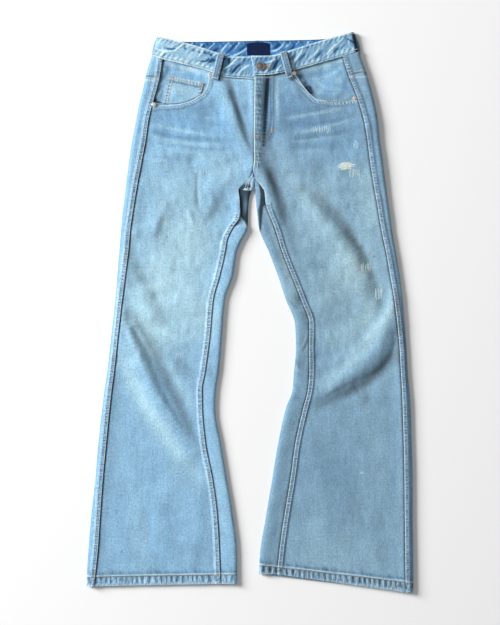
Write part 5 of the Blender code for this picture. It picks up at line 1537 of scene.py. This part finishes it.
sewnRows = {  # how far a piece's rows of stitches lie from its seam or edge
    "leg": (2.0, 8.4), "scoop": (1.9, 8.2), "yoke": (1.8, 8.0), "rise": (2.2, 8.4), "hem": 18.3,
    "coinTop": (1.6, 5.6), "coinSide": (1.8, 7.4), "pocketSide": (1.8, 7.8), "pocketTop": (10, 14),
    "bandTop": 3.2, "bandSeam": 4.7, "bandInside": 3.0,
}
legRuns, outerLegRuns, pocketRuns, dullRuns = [], [], [], []
hemRuns, flyRuns, yokeRuns, bandRuns = [], [], [], []
for side in sides:
    out = outward[side]
    for inset in sewnRows["leg"]:
        y = np.arange(hemMiddle(side) + 14, outseamTop[side] - 2, 4.0)
        yRow = slanted(side, y)[0]
        rows = outerLegRuns if side == "right" and inset > 5 else legRuns
        rows.append(over(side, edge[side]["outseam"](yRow) + out * inset, yRow))
        y = np.arange(hemMiddle(side) + 14, seamShows[side][1] - 4, 4.0)
        yRow = slanted(side, y)[1]
        legRuns.append(over(side, edge[side]["seam"](yRow) + out * (inset + 0.4), yRow))
    for tuck, rows in zip(sewnRows["scoop"], (pocketRuns, dullRuns)):
        line = scoopAt(side, np.linspace(0.0 if tuck < 5 else 0.03, 1, 60), tuck)
        line = line[line[:, 1] < waistSeam[side](line[:, 0]) - 1.5]
        rows.append(over(side, line[:, 0], line[:, 1]))
    start, end = (edge[side][name](low) for name, low in zip(("outer", "inner"), hemEnds[side]))
    x = np.linspace(start - out * 4, end + out * 4, 90)
    y = hemLine(side, x) + sewnRows["hem"]
    hemRuns.append(over(side, x, y))
    hemRuns.append(np.column_stack([x, y, 0 * x - 0.1]))
    for below in sewnRows["yoke"]:  # the yoke seam, over the side and along the underside
        y0, y1 = yoke[side][0] - below, yoke[side][1] - below
        x = np.linspace(edge[side]["outseam"](y0) + out * 1.5, edge[side]["outer"](y1) - out * 5, 12)
        yokeRuns.append(over(side, x, lerp(y0, y1, np.linspace(0, 1, 12))))
        x = np.linspace(cut["backRise"] + out * 2, edge[side]["outer"](y1) - out * 5, 60)
        share = (x - x[0]) / (x[-1] - x[0])
        y = lerp(yoke[side][2] - below, y1, share)
        yokeRuns.append(np.column_stack([x, y, floorHeight(x, y) - 0.1]))
for inset in sewnRows["rise"]:
    y = np.linspace(280, yoke["right"][2] - 2, 60)
    x = 0 * y + cut["backRise"] + inset
    yokeRuns.append(np.column_stack([x, y, floorHeight(x, y) - 0.1]))
sew("legStitches", legRuns, creamThread)
sew("outerLegStitches", outerLegRuns, dullThread)
sew("pocketStitches", pocketRuns, creamThread)
sew("outerPocketStitches", dullRuns, dullThread, wide=0.9)
sew("hemStitches", hemRuns, tanThread)
for upper, lower, count, inset in ((470, 330, 60, 2.2), (330, 276, 30, 2.2), (330, 276, 30, 8.6)):
    y = np.linspace(upper, lower, count)  # along the lapped edge
    flyRuns.append(over("right", edge["right"]["seam"](y) + inset, y))
curveRuns = []
flyCurve = [(47, 470), (46.4, 402), (47.6, 382), (45, 366), (40, 351), (30, 339.4), (22, 337.6)]
for inset in (0.0, -6.0):  # the curved fly stitching
    bend = np.array(flyCurve, float)
    bend[:, 0] += inset
    bend[4:, 1] -= 0.4 * inset
    bend[-1, 0] -= inset
    t, fine = np.linspace(0, 1, len(bend)), np.linspace(0, 1, 90)
    line = rounded(placesAlong(bend, t, fine), 40)
    curveRuns.append(over("right", line[:, 0], line[:, 1]))
sew("flyStitches", flyRuns, creamThread)
sew("flyCurveStitches", curveRuns, tanThread, wide=0.8)

coinRuns = []
for below in sewnRows["coinTop"]:
    s = np.linspace(0.02, 0.98, 40)
    x = lerp(coinPocket["left"][0], coinPocket["right"][0], s)
    y = lerp(coinPocket["left"][1], coinPocket["right"][1], s) - below
    coinRuns.append(np.column_stack([x, y, topHeight("left", x, y) + 0.25]))
for inset in sewnRows["coinSide"]:
    for start, base, way in (("left", "baseLeft", 1), ("right", "baseRight", -1)):
        y = np.linspace(coinPocket[start][1] - 3, scoopY(coinPocket[base]) + 4, 24)
        share = (coinPocket[start][1] - y) / (coinPocket[start][1] - scoopY(coinPocket[base]))
        x = lerp(coinPocket[start][0], coinPocket[base], share) + way * inset
        if way == 1 or inset < 5:
            coinRuns.append(np.column_stack([x, y, topHeight("left", x, y) - 0.1]))
sew("coinPocketStitches", coinRuns, creamThread)

for side, first, last in (("left", -192, 4), ("right", 6, 212)):
    x = np.linspace(first, last, 110)
    y = waistTop[side](x) - sewnRows["bandTop"]
    bandRuns.append(np.column_stack([x, y, waistHeight[side](x) + 0.15]))
    x = np.linspace(first - 4 * (side == "left"), last + 3 * (side == "right"), 110)
    y = waistSeam[side](x) + sewnRows["bandSeam"]
    bandRuns.append(np.column_stack([x, y, waistHeight[side](x) + 0.15]))
x = np.linspace(-176, 196, 180)
for y in (waistTop["back"](x) - sewnRows["bandTop"], waistSeam["back"](x) + sewnRows["bandInside"]):
    bandRuns.append(np.column_stack([x, y, 0 * x + band["base"] - 0.05]))
sew("waistbandStitches", bandRuns, creamThread, length=2.5, pitch=3.2)
sew("yokeStitches", yokeRuns, creamThread)

pocketEdge = []
for side in sides:
    cx, h, b = backPocket["x"][side], backPocket["halfWidth"], backPocket["halfBase"]
    for inset in sewnRows["pocketSide"]:
        top, low = backPocket["top"], backPocket["bottom"] + 0.4 * inset
        corners = [
            (cx - h + inset, top), (cx - b + inset, low), (cx, backPocket["point"] + inset),
            (cx + b - inset, low), (cx + h - inset, top),
        ]
        for start, end in zip(corners, corners[1:]):
            line = lerp(np.array(start, float), np.array(end, float), np.linspace(0, 1, 30)[:, None])
            pocketEdge.append(np.column_stack([line, 0 * line[:, 0] - 0.05]))
    for below in sewnRows["pocketTop"]:
        x = np.linspace(cx - h + 2, cx + h - 2, 30)
        pocketEdge.append(np.column_stack([x, 0 * x + backPocket["top"] - below, 0 * x - 0.05]))
sew("backPocketStitches", pocketEdge, creamThread)


def pointsOf(name):
    return np.array([v.co[:] for v in bpy.data.objects[name].data.vertices]) / mm


def closeTo(points, place, reach):  # the points that lie within reach of a place, seen from above
    return points[np.hypot(points[:, 0] - place[0], points[:, 1] - place[1]) < reach]


loopRuns = []
for name, (ax, ay, bx, by, bow, on) in beltLoops.items():
    loopPoints = pointsOf(f"beltLoop_{name}")
    t = np.linspace(0.04, 0.96, 24)
    way = unit(np.array([ax, ay], float), np.array([bx, by], float))
    for offset in (-4.2, 4.2):
        x = lerp(ax, bx, t) + bow * np.sin(np.pi * t) - way[1] * offset
        y = lerp(ay, by, t) + way[0] * offset
        outermost = np.max if on else np.min
        z = [outermost(closeTo(loopPoints, place, 2.4)[:, 2]) - 0.05 for place in zip(x, y)]
        loopRuns.append(np.column_stack([x, y, z]))
sew("loopStitches", loopRuns, creamThread, length=2.3, pitch=2.9, wide=0.7)

tackRuns = []
barTacks = [  # x, y, way in degrees, how long, and on which side's front
    (44.4, 364.0, 90, 11, "right"), (13.0, 352.0, 0, 10, "right"), (-156.4, 469.8, -11.6, 8.5, "left"),
    (-97.2, 457.6, -11.6, 8.5, "left"), (-189.0, 414.0, 0, 4, "left"), (82.6, 474, 60, 4, "right"),
]
for cx, cy, way, long, side in barTacks:
    s = np.linspace(-long / 2, long / 2, 12)
    x, y = cx + s * math.cos(math.radians(way)), cy + s * math.sin(math.radians(way))
    tackRuns.append(over(side, x, y) + [0, 0, 0.25])
sew("barTacks", tackRuns, orangeThread, length=2.6, pitch=0.62, wide=0.6, turn=90)

loopTacks = []
for name in ("front_left", "front_right"):
    ax, ay, bx, by, bow, on = beltLoops[name]
    loopPoints = pointsOf(f"beltLoop_{name}")
    way = unit(np.array([ax, ay], float), np.array([bx, by], float))
    for t in (0.045, 0.95):
        middle = np.array([lerp(ax, bx, t), lerp(ay, by, t)])
        line = middle + np.linspace(-5, 5, 12)[:, None] * np.array([-way[1], way[0]])
        top = [closeTo(loopPoints, place, 2.6)[:, 2].max() for place in line]
        loopTacks.append(np.column_stack([line, np.array(top) + 0.05]))
sew("loopTacks", loopTacks, creamThread, length=2.4, pitch=0.7, wide=0.6, turn=90)

hole = {"from": (28.6, 489.2), "to": (39.6, 491.0), "half": 1.7}
s = np.linspace(0, 1, 20)[:, None]
middle = lerp(np.array(hole["from"]), np.array(hole["to"]), s)
way = unit(np.array(hole["from"]), np.array(hole["to"]))
aside = hole["half"] * np.array([-way[1], way[0]])
loopLine = np.concatenate([middle + aside, (middle - aside)[::-1], (middle + aside)[:1]])
holeRun = np.column_stack([loopLine, waistHeight["right"](loopLine[:, 0]) + 0.15])
sew("buttonholeStitches", [holeRun], orangeThread, length=2.2, pitch=0.75, wide=0.7, turn=90)

# The turned end of the seat seam, which shows over the hollow at the crotch
flap = {"corners": ((-9, 270), (9, 270), (-19, 247), (5, 243)), "under": 0.7}
down, across = np.meshgrid(np.linspace(0, 1, 22), np.linspace(0, 1, 22), indexing="ij")
corners = np.array(flap["corners"], float)
upper, lower = (lerp(corners[i], corners[i + 1], across[..., None]) for i in (0, 2))
place = lerp(upper, lower, down[..., None])
x, y = place[..., 0], place[..., 1] - 2.2 * np.sin(np.pi * across) * down
z = topHeight("left", x, y) - flap["under"] + 0.5 * dots(2.2 * y + x, 3) * np.sin(np.pi * across)
z = z - 1.6 * down**6 + 0.6 * np.sin(np.pi * across)
dye = blend(plainDye("left", x),
    ("worn", 0.45 * np.sin(np.pi * across) + 0.3 * np.maximum(dots(y, 7), 0)),
    ("dark", 0.55 * (1 - ease(across, 0, 0.35)) + 0.5 * bell(across - 0.62, 0.08)))
sewn = np.zeros((*x.shape, 3))
crotchFlap = sheetOf("crotchFlap", np.stack([x, y, z], -1), pair(x, y), 1.0, dye, sewn, turn=-1)
fit(crotchFlap, denim)
flapRuns = []
for s in (0.32, 0.52, 0.86):
    column = int(round(s * 21))
    flapRuns.append(np.stack([x[3:, column], y[3:, column], z[3:, column] + 0.2], -1))
sew("flapStitches", flapRuns, creamThread)

# Worn nicks: short upright threads in patches, a frayed hole and a loose thread
nicks = [  # x, y, half width, half height, threads, and the side
    (-180, 302, 14, 5, 9, "left"), (-187, 266, 5, 6, 4, "left"), (-96, 280, 13, 5, 7, "left"),
    (-203, 50, 4, 6, 4, "left"), (-218, -16, 5, 6, 4, "left"), (-140, -86, 6, 6, 4, "left"),
    (144, 364, 17, 8, 10, "right"), (212, 334, 5, 10, 4, "right"), (209, 280, 9, 12, 9, "right"),
    (232, 90, 9, 10, 8, "right"), (258, 38, 7, 14, 5, "right"), (169, 423, 5, 2, 4, "right"),
]
fray = np.random.default_rng(21)
nickRuns = []
for cx, cy, wide, high, count, side in nicks:
    for place in np.linspace(-wide, wide, count):
        startY, endY = (cy + way * fray.uniform(0.3, 1.0) * high for way in (1, -1))
        t = np.linspace(0, 1, 6)
        x = cx + place + fray.uniform(-0.8, 0.8) + fray.uniform(-1.6, 1.6) * t
        nickRuns.append(over(side, x, lerp(startY, endY, t)))
sew("nickThreads", nickRuns, nickThread, length=3.4, pitch=2.7, wide=0.85)
tear = {"x": 189, "y": 292, "half": 12.5, "slant": 0.1}
hollowRuns = []
for row in np.linspace(-7, 7, 17):
    half = tear["half"] * math.sqrt(max(0.12, 1 - (row / 8) ** 2))
    start = -half + fray.uniform(-2, 5)
    while start < half - 3:
        long = fray.uniform(6, 16)
        t = np.linspace(0, 1, 6)
        x = tear["x"] + start + long * t
        y = tear["y"] + row + tear["slant"] * (x - tear["x"])
        y = y + fray.uniform(-0.9, 0.9) + fray.uniform(-1.2, 1.2) * t
        hollowRuns.append(over("right", x, y) + [0, 0, fray.uniform(0, 0.3)])
        start += long + fray.uniform(0, 2.5)
sew("holeThreads", hollowRuns, whiteThread, length=4.4, pitch=3.2, wide=1.0)
loose = {"x": -33, "y": -540, "long": 7}
looseRuns = []
for bend in (-3, 0, 4):
    t = np.linspace(0, 1, 8)
    x, y = loose["x"] + bend * t + 1.5 * np.sin(5 * t), loose["y"] - loose["long"] * t
    looseRuns.append(np.column_stack([x, y, 2.2 - 1.4 * t]))
sew("looseThreads", looseRuns, whiteThread, length=2.6, pitch=2.0, wide=0.7)

# Floor, lights and camera
ground = {"size": 6, "drop": 0.0006, "colour": (0.9, 0.9, 0.9, 1), "worldLight": 0.22}
bpy.ops.mesh.primitive_plane_add(size=ground["size"], location=(0, 0, -ground["drop"]))
floor = bpy.context.active_object
floor.name = "floor"
floorMaterial, tree, shader = newMaterial("paleFloor", 0.9)
shader.inputs["Base Color"].default_value = ground["colour"]
shader.inputs["Specular IOR Level"].default_value = 0.1
floor.data.materials.append(floorMaterial)

studio = {  # name: place, aimed at the hips, with its width, height and power
    "windowLight": ((-6.7, 2.7, 2.75), (2.8, 2.8), 1300),
    "fillLight": ((0.3, 0.2, 3.2), (3.5, 3.5), 13),
}
for name, (place, size, power) in studio.items():
    light = bpy.data.lights.new(name, "AREA")
    light.shape = "RECTANGLE"
    light.size, light.size_y = size
    light.energy = power
    lamp = bpy.data.objects.new(name, light)
    bpy.context.scene.collection.objects.link(lamp)
    lamp.location = place
    aim = -np.array(place)
    tilt, turn = math.atan2(math.hypot(aim[0], aim[1]), -aim[2]), math.atan2(aim[1], aim[0]) - math.pi / 2
    lamp.rotation_euler = (tilt, 0, turn)
world = bpy.data.worlds.new("studio")
world.use_nodes = True
background = world.node_tree.nodes["Background"]
background.inputs["Color"].default_value = (1, 1, 1, 1)
background.inputs["Strength"].default_value = ground["worldLight"]
bpy.context.scene.world = world

# Metres up, metres along the picture's longer side, and millimetres
view = {"height": 2.3, "long": 1.25, "sensor": 36}
camera = bpy.data.cameras.new("camera")
camera.sensor_width = view["sensor"]
camera.lens = view["sensor"] * view["height"] / view["long"]
cameraObject = bpy.data.objects.new("camera", camera)
bpy.context.scene.collection.objects.link(cameraObject)
cameraObject.location = (0, -0.001, view["height"] + 0.007)
bpy.context.scene.camera = cameraObject
bpy.context.scene.view_settings.view_transform = "Standard"
